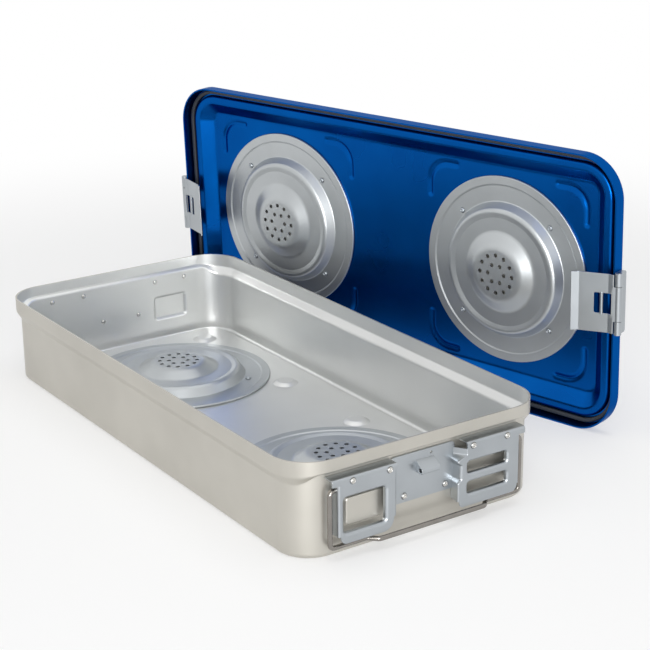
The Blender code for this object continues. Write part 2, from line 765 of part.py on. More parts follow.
def add_strike_plate(side, end):
    """Add the strike plate with its wedge lug, whose lip the latch catches under."""
    outline = rounded_outline(
        rectangle(STRIKE_LOW_Y, STRIKE_BOTTOM, STRIKE_HIGH_Y, HOLDER_TOP), STRIKE_CORNER
    )
    holes = [circle(sign * STRIKE_RIVET_Y, STRIKE_RIVET_Z, RIVET_HOLE_RADIUS) for sign in (-1, 1)]
    plate = plate_mesh("strike", [outline, *holes], STRIKE_SHEET)
    plate.transform(Matrix.Translation((STRIKE_FACE_X - STRIKE_SHEET / 2, 0, 0)) @ FACE_X)
    strike = add_part(f"strike_plate_{side}", plate, STAMPED_ALUMINIUM, end)

    root_x = STRIKE_FACE_X - STRIKE_SHEET / 2
    tip_x = STRIKE_FACE_X + LUG_REACH
    section = [(root_x, LUG_BOTTOM), (tip_x, LUG_BOTTOM), (tip_x, LUG_BOTTOM + LUG_LIP), (root_x, LUG_TOP)]
    hole = circle(tip_x - 2 * SEAL_HOLE_RADIUS, LUG_BOTTOM + 1.6 * SEAL_HOLE_RADIUS, SEAL_HOLE_RADIUS)
    lug = plate_mesh("lug", [section, hole], 2 * LUG_HALF_WIDTH)
    combine(strike, "UNION", lug, FACE_Y)


def add_end_rivets(side, end):
    """Add the rivets of one end: long ones through the holders, short ones through the strike plate."""
    kinds = (
        ("holder_rivet", HOLDER_FACE_X, holder_rivet_places()),
        ("strike_rivet", STRIKE_FACE_X, strike_rivet_places()),
    )
    for name, face_x, spots in kinds:
        places = [Matrix.Translation((face_x, y, z)) @ RIVET_FACES_X for y, z in spots]
        rivet = rivet_mesh(name, face_x - INNER_WALL_X)
        add_copies(f"{name}_{side}", rivet, BRIGHT_STEEL, end, places)


def add_bail(side, end):
    """Add the wire bail on an empty at its pivot axis."""
    pivot = add_empty(f"bail_pivot_{side}", end, Matrix.Translation((BAIL_PIVOT_X, 0.0, BAIL_PIVOT_Z)))
    inner = HOLDER_OUTER_Y - BAIL_END_IN
    jog = GRIP_HALF_LENGTH + GRIP_JOG
    half = [
        (0.0, inner, 0.0),
        (0.0, BAIL_LEG_Y, 0.0),
        (0.0, BAIL_LEG_Y, -BAIL_DROP),
        (0.0, jog, -BAIL_DROP),
        (GRIP_OFFSET, GRIP_HALF_LENGTH, -BAIL_DROP),
    ]
    corners = half + [(x, -y, z) for x, y, z in reversed(half)]
    mesh = wire_mesh("bail", bent_path(corners, WIRE_BEND), WIRE_RADIUS)
    soften(mesh, 60.0)
    add_part(f"bail_{side}", mesh, BRIGHT_STEEL, pivot)


def bead_mesh(half_width, height, level):
    """Make the flattened tubes of one vent's four bent beads at a level of the lid."""
    start = BEAD_BEND + BEAD_LEG_Y
    end = BEAD_BEND + BEAD_LEG_X
    tubes = []
    for side_x in (-1, 1):
        for side_y in (-1, 1):
            corners = [
                (side_x * BEAD_OFFSET_X, side_y * (BEAD_OFFSET_Y - start), 0.0),
                (side_x * BEAD_OFFSET_X, side_y * BEAD_OFFSET_Y, 0.0),
                (side_x * (BEAD_OFFSET_X - end), side_y * BEAD_OFFSET_Y, 0.0),
            ]
            tubes.append(wire_mesh("bead", bent_path(corners, BEAD_BEND, 3), half_width, 1))
    place = Matrix.Translation((0, 0, level)) @ Matrix.Diagonal((1, 1, height / half_width, 1))
    return join_meshes("beads", [(tube, place) for tube in tubes])


def add_lid_shell(lid):
    """Add the lid's drawn sheet, with its rim plane at z = 0 and its panel above."""
    skirt_top = SKIRT_RISE + LID_SHEET
    channel_in = LID_SHEET + CHANNEL_WIDTH + LID_SHEET
    ridge_in = channel_in + CHANNEL_SLOPE
    slope_in = ridge_in + RIDGE_WIDTH
    panel_top = PANEL_RISE + LID_SHEET
    profile = [
        (0.0, 0.0),
        (0.0, skirt_top - SKIRT_EDGE),
        (SKIRT_EDGE, skirt_top),
        (channel_in, skirt_top),
        (ridge_in, RIDGE_RISE + LID_SHEET),
        (slope_in, RIDGE_RISE + LID_SHEET),
        (slope_in + PANEL_SLOPE, panel_top),
    ]
    skin = pan_skin("lid_skin", LID_LENGTH, LID_WIDTH, LID_CORNER, profile)
    shell = add_part("lid_shell", skin, BLUE_ANODISED, lid)
    thicken(shell, LID_SHEET)

    raised = bead_mesh(BEAD_HALF_WIDTH, BEAD_HEIGHT, panel_top)
    groove = bead_mesh(BEAD_HALF_WIDTH - LID_SHEET / 2, BEAD_HEIGHT, PANEL_RISE)
    spots = [Matrix.Translation((x, 0, 0)) for x in VENT_CENTRES]
    combine(shell, "UNION", join_meshes("raised_beads", [(raised, spot) for spot in spots]))

    holes = vent_panel_holes(LID_SHEET)
    cuts = [(groove, spot) for spot in spots]
    cuts.extend((holes, vent_place_in_lid(x)) for x in VENT_CENTRES)
    combine(shell, "DIFFERENCE", join_meshes("lid_cuts", cuts))


def vent_place_in_lid(x):
    """Place a vent on the lid panel's inner face, rising toward the rim plane."""
    return Matrix.Translation((x, 0.0, PANEL_RISE)) @ Matrix.Rotation(math.pi, 4, "X")


def add_gasket(lid):
    """Add the gasket ring in the lid's channel."""
    top = SKIRT_RISE - FIT_GAP
    beside_skirt = LID_SHEET + FIT_GAP
    clear_of_edge = SKIRT_EDGE + (math.sqrt(2) - 1) * beside_skirt
    insets = (max(beside_skirt, clear_of_edge), LID_SHEET + CHANNEL_WIDTH - FIT_GAP)
    outlines = [round_corner_ring(LID_LENGTH, LID_WIDTH, LID_CORNER, inset, 0.0) for inset in insets]
    ring = plate_mesh("gasket", outlines, top - GASKET_RISE)
    soften(ring)
    middle = Matrix.Translation((0.0, 0.0, (top + GASKET_RISE) / 2))
    add_part("lid_gasket", ring, GREY_RUBBER, lid, middle)


def barrel_mesh(low_y, high_y):
    """Make one hinge knuckle about the hinge axis."""
    return rod_mesh("knuckle", KNUCKLE_RADIUS, (0, low_y, 0), (0, high_y, 0), 12)


def bore_mesh():
    """Make the cutter of the hinge pin's bore."""
    reach = HINGE_HALF_LENGTH + KNUCKLE_RADIUS
    return rod_mesh("bore", BORE_RADIUS, (0, -reach, 0), (0, reach, 0))


def add_hinge_leaf(side, hinge):
    """Add the leaf, welded flat on the skirt, with the outer knuckles and the pin."""
    low = 0.0
    middle_low = KNUCKLE_RADIUS + KNUCKLE_GAP
    gap_y = MIDDLE_HALF_LENGTH
    outer = HINGE_HALF_LENGTH
    outline = [
        (-outer, low),
        (-gap_y, low),
        (-gap_y, middle_low),
        (gap_y, middle_low),
        (gap_y, low),
        (outer, low),
        (outer, LEAF_HEIGHT),
        (-outer, LEAF_HEIGHT),
    ]
    plate = plate_mesh("leaf", [outline], LEAF_SHEET)
    plate.transform(Matrix.Translation((FIT_GAP + LEAF_SHEET / 2 - HINGE_OUT, 0, 0)) @ FACE_X)
    leaf = add_part(f"hinge_leaf_{side}", plate, STAMPED_ALUMINIUM, hinge)
    barrels = [barrel_mesh(-outer, -gap_y), barrel_mesh(gap_y, outer)]
    combine(leaf, "UNION", join_meshes("knuckles", [(barrel, Matrix()) for barrel in barrels]))
    combine(leaf, "DIFFERENCE", bore_mesh())

    pin = rod_mesh("pin", PIN_RADIUS, (0, -outer, 0), (0, outer, 0), 10)
    add_part(f"hinge_pin_{side}", pin, BRIGHT_STEEL, hinge)


def sheet_section(centreline, thickness):
    """Give a bent sheet's section: its centreline moved half a thickness to each side."""
    places = [Vector(point) for point in centreline]
    sides = []
    for index, place in enumerate(places):
        before = places[max(index - 1, 0)]
        after = places[min(index + 1, len(places) - 1)]
        along = (after - before).normalized()
        across = Vector((-along.y, along.x)) * thickness / 2
        sides.append((place - across, place + across))
    right = [(one.x, one.y) for one, _ in sides]
    left = [(other.x, other.y) for _, other in sides]
    return right + left[::-1]


def add_latch(side, hinge):
    """Add the latch, modelled hanging down in its closed direction and folded inward by its empty."""
    swing = add_empty(f"latch_pivot_{side}", hinge, Matrix.Rotation(LATCH_FOLD, 4, "Y"))
    start_x = KNUCKLE_RADIUS - LATCH_SHEET
    straight_x = start_x - LATCH_SET_IN
    flare_z = -(LATCH_LENGTH - LATCH_FLARE_LENGTH)
    centreline = [
        (start_x, 0.0),
        (start_x, -LATCH_NECK),
        (straight_x, -LATCH_NECK - LATCH_BEND),
        (straight_x, flare_z),
        (straight_x + LATCH_FLARE, -LATCH_LENGTH),
    ]
    body = plate_mesh("latch", [sheet_section(centreline, LATCH_SHEET)], 2 * LATCH_HALF_WIDTH)
    body.transform(FACE_Y)
    latch = add_part(f"latch_{side}", body, STAMPED_ALUMINIUM, swing)

    middle = MIDDLE_HALF_LENGTH - KNUCKLE_GAP
    bar_z = -(LATCH_SLOT_BAR + LATCH_BAR_WIDTH / 2)
    deep = 2 * KNUCKLE_RADIUS
    shoulder = -(KNUCKLE_RADIUS + KNUCKLE_GAP)
    cuts = [
        box_mesh("shoulder", (-deep, middle, shoulder), (deep, 2 * LATCH_HALF_WIDTH, deep)),
        box_mesh("shoulder", (-deep, -2 * LATCH_HALF_WIDTH, shoulder), (deep, -middle, deep)),
    ]
    half = LATCH_SLOT_HALF_WIDTH
    after_bar = LATCH_SLOT_BAR + LATCH_BAR_WIDTH
    for start, end in ((LATCH_SLOT_START, LATCH_SLOT_BAR), (after_bar, LATCH_SLOT_END)):
        cuts.append(box_mesh("slot", (-deep, -half, -end), (deep, half, -start)))
    combine(latch, "DIFFERENCE", join_meshes("latch_cuts", [(cut, Matrix()) for cut in cuts]))
    lip_x = straight_x
    lip_y = half + LATCH_BAR_WIDTH / 2
    lip = rod_mesh("lip", LATCH_BAR_RADIUS, (lip_x, -lip_y, bar_z), (lip_x, lip_y, bar_z))
    knuckle = barrel_mesh(-middle, middle)
    combine(latch, "UNION", join_meshes("rolled", [(lip, Matrix()), (knuckle, Matrix())]))
    combine(latch, "DIFFERENCE", bore_mesh())


def add_lid(root):
    """Add the lid, stood on its long edge behind the tray."""
    turn = Matrix.Rotation(LID_TURN, 4, "Z") @ Matrix.Rotation(LID_LEAN - math.pi / 2, 4, "X")
    foot = Vector((LID_FOOT_X, LID_FOOT_Y, 0.0))
    centre = foot - turn.to_3x3() @ Vector((0.0, LID_WIDTH / 2, 0.0))
    lid = add_empty("lid_frame", root, Matrix.Translation(centre) @ turn)
    add_lid_shell(lid)
    add_gasket(lid)
    for side, x in zip(("left", "right"), VENT_CENTRES):
        add_vent("lid", side, lid, vent_place_in_lid(x), LID_SHEET)
    for side, end_turn in END_TURNS.items():
        axis = Matrix.Translation((HINGE_X, 0.0, HINGE_RISE))
        hinge = add_empty(f"hinge_{side}", lid, Matrix.Rotation(end_turn, 4, "Z") @ axis)
        add_hinge_leaf(side, hinge)
        add_latch(side, hinge)


def centre_on_bench(root):
    """Move the set so that its box stands on z = 0, centred over the origin."""
    bpy.context.view_layer.update()
    graph = bpy.context.evaluated_depsgraph_get()
    corners = []
    for part in PARTS.objects:
        if part.type == "MESH":
            seen = part.evaluated_get(graph)
            corners.extend(seen.matrix_world @ vertex.co for vertex in seen.data.vertices)
    low = Vector([min(corner[axis] for corner in corners) for axis in range(3)])
    high = Vector([max(corner[axis] for corner in corners) for axis in range(3)])
    root.location = (-(low.x + high.x) / 2, -(low.y + high.y) / 2, -low.z)
    bpy.context.view_layer.update()


def main():
    """Build the container."""
    root = add_empty("container", None, Matrix())
    add_tray(root)
    for side, turn in END_TURNS.items():
        end = add_empty(f"end_{side}", root, Matrix.Rotation(turn, 4, "Z"))
        add_strike_plate(side, end)
        add_label_holder(side, end)
        add_tag_holder(side, end)
        add_end_rivets(side, end)
        add_bail(side, end)
    add_lid(root)
    centre_on_bench(root)


main()
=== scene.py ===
"""Looks of a rigid sterilization container: finer pressed pieces, finishes, studio light and camera."""

import json
import logging
import math
from collections.abc import Callable, Sequence
from dataclasses import dataclass
from enum import Enum
from typing import Any

import bmesh
import bpy
from mathutils import Matrix, Vector

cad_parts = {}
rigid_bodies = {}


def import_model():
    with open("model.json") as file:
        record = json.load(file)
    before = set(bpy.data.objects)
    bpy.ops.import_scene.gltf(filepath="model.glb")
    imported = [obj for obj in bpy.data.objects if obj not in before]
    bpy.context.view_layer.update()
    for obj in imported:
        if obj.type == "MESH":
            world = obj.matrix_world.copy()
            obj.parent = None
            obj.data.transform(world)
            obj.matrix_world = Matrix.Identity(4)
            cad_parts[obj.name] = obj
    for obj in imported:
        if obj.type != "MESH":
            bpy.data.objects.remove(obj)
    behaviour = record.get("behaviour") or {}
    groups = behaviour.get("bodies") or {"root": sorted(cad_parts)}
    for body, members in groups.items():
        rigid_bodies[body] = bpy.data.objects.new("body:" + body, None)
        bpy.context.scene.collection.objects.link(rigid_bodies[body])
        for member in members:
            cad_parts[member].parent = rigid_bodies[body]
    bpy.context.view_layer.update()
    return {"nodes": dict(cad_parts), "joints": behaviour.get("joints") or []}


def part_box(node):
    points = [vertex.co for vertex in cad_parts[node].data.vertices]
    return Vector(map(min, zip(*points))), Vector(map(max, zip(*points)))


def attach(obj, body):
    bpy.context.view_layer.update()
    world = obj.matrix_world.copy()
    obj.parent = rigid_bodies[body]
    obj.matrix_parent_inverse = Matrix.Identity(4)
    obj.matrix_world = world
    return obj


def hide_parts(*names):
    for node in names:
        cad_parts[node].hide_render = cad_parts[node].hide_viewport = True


LOG = logging.getLogger("container")
MM = 0.001
WHITE = (1.0, 1.0, 1.0, 1.0)
# Steps in a pan's corner, in a small corner and in a quarter turn of a bend
PAN_STEPS = 16
CORNER_STEPS = 6
BEND_STEPS = 8
# Vertices nearer than this are one, in millimetres, and a corner that turns less than this isn't rounded
WELD = 0.0005
STRAIGHT = 0.001
# An edge that turns more than this is eased, and large faces lead the shading by this weight
SHARP = math.radians(40)
SHADE_WEIGHT = 60
# Noise detail of grain and clouds, and where along the noise the two cloud colours stand
GRAIN_DETAIL = 3.0
CLOUD_DETAIL = 2.0
CLOUD_STOPS = (0.3, 0.7)

Flat = tuple[float, float]
Spot = tuple[float, float, float]
Loop = list[Vector]
Verts = list[bmesh.types.BMVert]
Mesh = bpy.types.Mesh
Tree = bpy.types.NodeTree
Socket = bpy.types.NodeSocket


class Side(Enum):
    """The two ends of the container, with the turn about Z that takes the right end to each."""

    LEFT = ("left", math.pi)
    RIGHT = ("right", 0.0)

    def __init__(self, word: str, turn: float) -> None:
        """Keep the word for this end and its turn."""
        self.word = word
        self.turn = turn

    @property
    def matrix(self) -> Matrix:
        """Give the turn of this end as a matrix."""
        return Matrix.Rotation(self.turn, 4, "Z")


def linear_colour(text: str) -> tuple[float, float, float, float]:
    """Turn an sRGB hex colour into linear values.

    Args:
        text: Six hex digits.

    Returns:
        Red, green, blue and an alpha of one.
    """
    values = []
    for start in (0, 2, 4):
        part = int(text[start : start + 2], 16) / 255
        values.append(part / 12.92 if part <= 0.04045 else ((part + 0.055) / 1.055) ** 2.4)
    return (values[0], values[1], values[2], 1.0)


def bare_tree(owner: bpy.types.Material | bpy.types.World) -> Tree:
    """Give a material or the world an empty node tree.

    Args:
        owner: The material or world.

    Returns:
        Its tree.
    """
    owner.use_nodes = True
    owner.node_tree.nodes.clear()
    return owner.node_tree


def add_node(
    tree: Tree, kind: str, inputs: dict[str | int, Any] | None = None, **settings: Any
) -> bpy.types.Node:
    """Add a node with its settings, input values and links.

    Args:
        tree: Node tree to add to.
        kind: Node type.
        inputs: Value of each input, or the output that feeds it, by socket name or number.
        settings: The node's own settings.

    Returns:
        The node.
    """
    node = tree.nodes.new(kind)
    for name, value in settings.items():
        setattr(node, name, value)
    for name, value in (inputs or {}).items():
        if isinstance(value, Socket):
            tree.links.new(value, node.inputs[name])
        else:
            node.inputs[name].default_value = value
    return node


@dataclass(frozen=True)
class Finish:
    """One real material and process, with what its surface shows.

    Attributes:
        name: Material and process.
        slot: Slot of the record that this finish belongs to; the script doesn't read it.
        colour: Main colour, sRGB hex.
        shade: Colour of its faint clouds, sRGB hex.
        metallic: One for bare metal, less under a layer that scatters light.
        roughness: Middle of the roughness range.
        spread: How far roughness moves with the clouds.
        grain: Size of the fine grain, in millimetres.
        depth: Height of the grain, in millimetres.
        cloud: Size of the clouds, in millimetres.
        stretch: How much longer the grain is along each axis.
        edge: Tint of the metal seen at a glance along it, sRGB hex.
        coat: Weight of a clear layer over the metal.
        layer: Roughness of the clear layer.
    """

    name: str
    slot: str
    colour: str
    shade: str
    metallic: float
    roughness: float
    spread: float
    grain: float
    depth: float
    cloud: float
    stretch: Spot = (1.0, 1.0, 1.0)
    edge: str = "FFFFFF"
    coat: float = 0.0
    layer: float = 0.1

    def material(self) -> bpy.types.Material:
        """Make or find the material of this finish.

        Returns:
            The material.
        """
        found = bpy.data.materials.get(self.name)
        if found:
            return found
        made = bpy.data.materials.new(self.name)
        tree = bare_tree(made)
        where = add_node(tree, "ShaderNodeTexCoord").outputs["Object"]
        drawn = {"Vector": where, "Scale": tuple(1 / part for part in self.stretch)}
        along = add_node(tree, "ShaderNodeMapping", drawn).outputs["Vector"]
        grit = {"Vector": along, "Scale": 1 / (self.grain * MM), "Detail": GRAIN_DETAIL}
        fine = add_node(tree, "ShaderNodeTexNoise", grit).outputs["Fac"]
        patch = {"Vector": where, "Scale": 1 / (self.cloud * MM), "Detail": CLOUD_DETAIL}
        wide = add_node(tree, "ShaderNodeTexNoise", patch).outputs["Fac"]
        tint = add_node(tree, "ShaderNodeValToRGB", {"Fac": wide})
        for stop, place, colour in zip(tint.color_ramp.elements, CLOUD_STOPS, (self.shade, self.colour)):
            stop.position = place
            stop.color = linear_colour(colour)
        limits = {"To Min": self.roughness - self.spread, "To Max": self.roughness + self.spread}
        rough = add_node(tree, "ShaderNodeMapRange", {"Value": wide, **limits})
        grooves = {"Height": fine, "Strength": 1.0, "Distance": self.depth * MM}
        relief = add_node(tree, "ShaderNodeBump", grooves)
        values = {
            "Base Color": tint.outputs["Color"],
            "Metallic": self.metallic,
            "Roughness": rough.outputs["Result"],
            "Normal": relief.outputs["Normal"],
            "Specular Tint": linear_colour(self.edge),
            "Coat Weight": self.coat,
            "Coat Roughness": self.layer,
        }
        skin = add_node(tree, "ShaderNodeBsdfPrincipled", values)
        add_node(tree, "ShaderNodeOutputMaterial", {"Surface": skin.outputs["BSDF"]})
        return made


# Real marks of blasting and drawing are too fine to show here, so each grain is drawn several times coarser

# Blasted and clear anodised sheet: broad soft highlights, warm silver with faint clouds
SATIN = Finish(
    "satin anodised aluminium, blasted", "satin_aluminium", "C4C1B9", "BCB9B1",
    metallic=0.85, roughness=0.40, spread=0.04, grain=0.7, depth=0.006, cloud=60.0,
)
# The same sheet on its drawn inner face: its paler colour is painted light for the light that fills the
# tray's inside, and it is a little smoother, with a tighter highlight in each corner
PAINTED_LIGHT_LINING = Finish(
    "satin anodised aluminium, drawn inner face", "satin_aluminium", "DCDDDC", "D6D7D6",
    metallic=0.85, roughness=0.36, spread=0.03, grain=0.7, depth=0.004, cloud=80.0,
)
# Pressed plate with a finer satin: cooler silver, tighter highlights along each bend
STAMPED = Finish(
    "stamped aluminium, fine satin", "stamped_aluminium", "B3B8BC", "AAAFB3",
    metallic=1.0, roughness=0.36, spread=0.03, grain=0.5, depth=0.003, cloud=45.0,
)
# The same plate blasted before anodising: paler, with softer shading over the domes of the vents
BLASTED = Finish(
    "stamped aluminium, blasted", "stamped_aluminium", "BEC2C4", "B6BABC",
    metallic=0.93, roughness=0.38, spread=0.03, grain=0.6, depth=0.004, cloud=45.0,
)
# Dyed anodic layer on bright sheet: deep blue that mirrors softly, blue even at a glance along it
BLUE = Finish(
    "dyed anodised aluminium, blue", "blue_anodised", "0255A5", "024C99",
    metallic=1.0, roughness=0.28, spread=0.03, grain=0.4, depth=0.001, cloud=70.0,
    edge="B0C0D8", coat=0.02, layer=0.12,
)
# Drawn and polished stainless wire, its colour darkened as painted shade for the dark surroundings that the
# polished round mirrors: a dark line with sharp bright streaks along the round
SHADED_STEEL = Finish(
    "stainless steel wire, drawn and polished", "bright_steel", "94908B", "88847F",
    metallic=1.0, roughness=0.14, spread=0.04, grain=0.6, depth=0.001, cloud=20.0,
)
# Cold headed stainless rivets: small bright rims round a dark hollow
HEADED = Finish(
    "stainless steel rivet, cold headed", "bright_steel", "CBCAC7", "BFBEBB",
    metallic=1.0, roughness=0.24, spread=0.04, grain=0.5, depth=0.001, cloud=12.0,
)
# Moulded silicone rubber: matt dark grey with a slight bloom
RUBBER = Finish(
    "silicone rubber, moulded grey", "grey_rubber", "2E3238", "262A30",
    metallic=0.0, roughness=0.62, spread=0.06, grain=0.5, depth=0.004, cloud=25.0,
)
# Pressed fibre paper: matt off-white with visible fibres
PAPER = Finish(
    "filter paper, pressed fibre", "filter_paper", "E3E1DA", "D2CFC6",
    metallic=0.0, roughness=0.92, spread=0.04, grain=0.35, depth=0.02, cloud=8.0,
    stretch=(3.0, 1.0, 1.0),
)


def put(name: str, data: Any) -> bpy.types.Object:
    """Put data in the scene as an object.

    Args:
        name: Name of the object.
        data: Mesh, lamp or camera.

    Returns:
        The object.
    """
    item = bpy.data.objects.new(name, data)
    bpy.context.scene.collection.objects.link(item)
    return item


def baked(item: bpy.types.Object) -> Mesh:
    """Turn an object with its modifiers into one plain mesh.

    Args:
        item: Object that is used up, with its mesh.

    Returns:
        The mesh.
    """
    source = item.data
    bpy.context.view_layer.update()
    graph = bpy.context.evaluated_depsgraph_get()
    made = bpy.data.meshes.new_from_object(item.evaluated_get(graph), depsgraph=graph)
    bpy.data.objects.remove(item, do_unlink=True)
    bpy.data.meshes.remove(source)
    return made


def growing_tree(name: str, sizes: dict[str, str], build: Callable[[Tree, Any], Socket]) -> Tree:
    """Make or find a geometry tree that ends in real geometry with a finish.

    Args:
        name: Name of the tree.
        sizes: Kind of each named input, besides the geometry and the finish.
        build: Adds the tree's own nodes, fed by the named inputs, and gives what they make.

    Returns:
        The tree.
    """
    found = bpy.data.node_groups.get(name)
    if found:
        return found
    tree = bpy.data.node_groups.new(name, "GeometryNodeTree")
    for socket, kind in {"Geometry": "Geometry", **sizes, "Finish": "Material"}.items():
        tree.interface.new_socket(socket, in_out="INPUT", socket_type=f"NodeSocket{kind}")
    tree.interface.new_socket("Geometry", in_out="OUTPUT", socket_type="NodeSocketGeometry")
    given = add_node(tree, "NodeGroupInput").outputs
    real = add_node(tree, "GeometryNodeRealizeInstances", {"Geometry": build(tree, given)})
    paint = {"Geometry": real.outputs["Geometry"], "Material": given["Finish"]}
    dressed = add_node(tree, "GeometryNodeSetMaterial", paint)
    add_node(tree, "NodeGroupOutput", {"Geometry": dressed.outputs["Geometry"]})
    return tree


def grown(mesh: Mesh, tree: Tree, values: dict[str, Any]) -> Mesh:
    """Run a geometry tree on a mesh.

    Args:
        mesh: Mesh that feeds the tree, used up by it.
        tree: The tree.
        values: Value of each named input.

    Returns:
        One plain mesh of the result.
    """
    host = put("grow_host", mesh)
    run = host.modifiers.new("grow", "NODES")
    run.node_group = tree
    sockets = {item.name: item.identifier for item in tree.interface.items_tree if item.in_out == "INPUT"}
    for name, value in values.items():
        run[sockets[name]] = value
    return baked(host)


def rounded_path(
    points: Sequence[Flat | Vector], radii: Sequence[float], steps: int = BEND_STEPS, even: bool = False
) -> Loop:
    """Round the inner corners of an open path, flat or in space.

    Args:
        points: Corners of the path, ends included.
        radii: Radius of each corner between the ends.
        steps: Steps in a quarter turn.
        even: Whether every corner takes the same number of steps, whatever its turn.

    Returns:
        Points along the rounded path.
    """
    places = [Vector(point) for point in points]
    path = [places[0]]
    for before, corner, after, radius in zip(places, places[1:], places[2:], radii):
        come = (before - corner).normalized()
        leave = (after - corner).normalized()
        angle = come.angle(leave)
        if radius <= 0.0 or angle > math.pi - STRAIGHT:
            path.append(corner)
            continue
        centre = corner + (come + leave).normalized() * (radius / math.sin(angle / 2))
        reach = radius / math.tan(angle / 2)
        first, last = ((corner + way * reach - centre).normalized() for way in (come, leave))
        count = steps if even else max(2, math.ceil(steps * (math.pi - angle) / (math.pi / 2)))
        path.extend(centre + first.slerp(last, step / count) * radius for step in range(count + 1))
    path.append(places[-1])
    return path


def smooth_step(low: float, high: float, value: float) -> float:
    """Ease from zero to one as a value goes from low to high."""
    part = min(max((value - low) / (high - low), 0.0), 1.0)
    return part * part * (3 - 2 * part)


def pressed_rise(part: float) -> float:
    """Give the share of a pressed form's height at a share of the way up its side."""
    return 0.5 - 0.5 * math.cos(math.pi * part)


def circle(centre: Flat, radius: float, steps: int) -> list[Flat]:
    """List the points of a flat circle."""
    angles = [2 * math.pi * step / steps for step in range(steps)]
    return [(centre[0] + radius * math.cos(angle), centre[1] + radius * math.sin(angle)) for angle in angles]


def round_rectangle(
    low: Flat, high: Flat, corner: float, steps: int = CORNER_STEPS, grow: float = 0.0
) -> list[Flat]:
    """List the points of a flat rectangle with round corners, counter-clockwise.

    Args:
        low: Lowest corner.
        high: Highest corner.
        corner: Corner radius.
        steps: Steps in each corner.
        grow: How far outside that rectangle the points lie.

    Returns:
        The points.
    """
    left, bottom = low[0] + corner, low[1] + corner
    right, top = high[0] - corner, high[1] - corner
    radius = corner + grow
    points = []
    for quarter, (x, y) in enumerate(((right, top), (left, top), (left, bottom), (right, bottom))):
        for step in range(steps + 1):
            angle = math.pi / 2 * (quarter + step / steps)
            points.append((x + radius * math.cos(angle), y + radius * math.sin(angle)))
    return points


def lift(points: Sequence[Flat | Vector], axis: str, level: float) -> Loop:
    """Stand flat points in space, square to an axis.

    Args:
        points: Flat points.
        axis: "X" takes them as Y and Z, "Y" as X and Z, "Z" as X and Y.
        level: Place along the axis.

    Returns:
        Points in space.
    """
    at = "XYZ".index(axis)
    return [Vector((*point[:at], level, *point[at:])) for point in points]


class Skin:
    """A sheet surface under construction, in millimetres."""

    def __init__(self) -> None:
        """Start with nothing."""
        self.bm = bmesh.new()

    def loft(
        self, rows: list[Loop], closed: bool = True, skip: set[tuple[int, int]] | None = None
    ) -> list[Verts]:
        """Join rows of points with faces.

        Args:
            rows: Rows with the same number of points.
            closed: Whether each row closes on itself.
            skip: Row and point numbers of faces to leave out.

        Returns:
            The vertices of each row.
        """
        made = [[self.bm.verts.new(point) for point in row] for row in rows]
        for level, (one, other) in enumerate(zip(made, made[1:])):
            for index in range(len(one) if closed else len(one) - 1):
                after = (index + 1) % len(one)
                if not skip or (level, index) not in skip:
                    self.bm.faces.new((one[index], one[after], other[after], other[index]))
        return made

    def outline(self, points: Sequence[Flat], axis: str, level: float) -> Verts:
        """Add loose vertices on flat points that stand square to an axis."""
        return [self.bm.verts.new(place) for place in lift(points, axis, level)]

    def fill(self, *loops: Verts) -> None:
        """Fill a flat region between an outer loop and any inner loops.

        Args:
            *loops: Closed loops of vertices.
        """
        edges = []
        for loop in loops:
            for one, other in zip(loop, loop[1:] + loop[:1]):
                edges.append(self.bm.edges.get((one, other)) or self.bm.edges.new((one, other)))
        bmesh.ops.triangle_fill(self.bm, use_beauty=True, use_dissolve=False, edges=edges)

    def lathe(self, profile: Sequence[Flat | Vector], steps: int, spin: Matrix | None = None) -> list[Verts]:
        """Turn a profile of radius and height about Z.

        Args:
            profile: Radius and height pairs.
            steps: Number of steps round.
            spin: Where the turned form stands.

        Returns:
            The vertices of each ring.
        """
        place = spin or Matrix()
        rings = [lift(circle((0.0, 0.0), size, steps), "Z", level) for size, level in profile]
        return self.loft([[place @ point for point in ring] for ring in rings])

    def mesh(self, name: str, facing: Spot | None = None) -> Mesh:
        """Weld the skin, turn its faces outward and make a mesh.

        Args:
            name: Name of the mesh.
            facing: For an open sheet, the way that its furthest face along this direction looks.

        Returns:
            The mesh.
        """
        bm = self.bm
        bmesh.ops.remove_doubles(bm, verts=bm.verts, dist=WELD)
        bmesh.ops.dissolve_degenerate(bm, edges=bm.edges, dist=WELD)
        loose = [vert for vert in bm.verts if not vert.link_faces]
        bmesh.ops.delete(bm, geom=loose, context="VERTS")
        bmesh.ops.recalc_face_normals(bm, faces=bm.faces)
        if facing:
            way = Vector(facing)
            probe = max(
                bm.faces,
                key=lambda face: face.calc_center_median().dot(way) + face.normal.dot(way) ** 2,
            )
            if probe.normal.dot(way) < 0:
                bmesh.ops.reverse_faces(bm, faces=bm.faces)
        made = bpy.data.meshes.new(name)
        bm.to_mesh(made)
        bm.free()
        return made


def worked(mesh: Mesh, sheet: float, edge: float, offset: float = -1.0, lined: bool = False) -> Mesh:
    """Give a skin its sheet thickness, ease its edges and smooth it.

    Args:
        mesh: Skin or solid, in millimetres.
        sheet: Thickness, or zero for a solid.
        edge: Width of the eased edges, or zero.
        offset: Minus one thickens behind the faces, zero about them.
        lined: Whether the faces behind take a second material.

    Returns:
        The finished mesh.
    """
    mesh.shade_smooth()
    for _ in range(2 if lined else 0):
        mesh.materials.append(None)
    item = put("work", mesh)
    if sheet > 0.0:
        thick = item.modifiers.new("sheet", "SOLIDIFY")
        thick.thickness = sheet
        thick.offset = offset
        thick.use_even_offset = True
        thick.use_quality_normals = True
        thick.material_offset = 1 if lined else 0
    if edge > 0.0:
        ease = item.modifiers.new("edge", "BEVEL")
        ease.width = edge
        ease.segments = 2
        ease.limit_method = "ANGLE"
        ease.angle_limit = SHARP
        ease.use_clamp_overlap = True
    level = item.modifiers.new("level", "WEIGHTED_NORMAL")
    level.weight = SHADE_WEIGHT
    level.keep_sharp = True
    return baked(item)


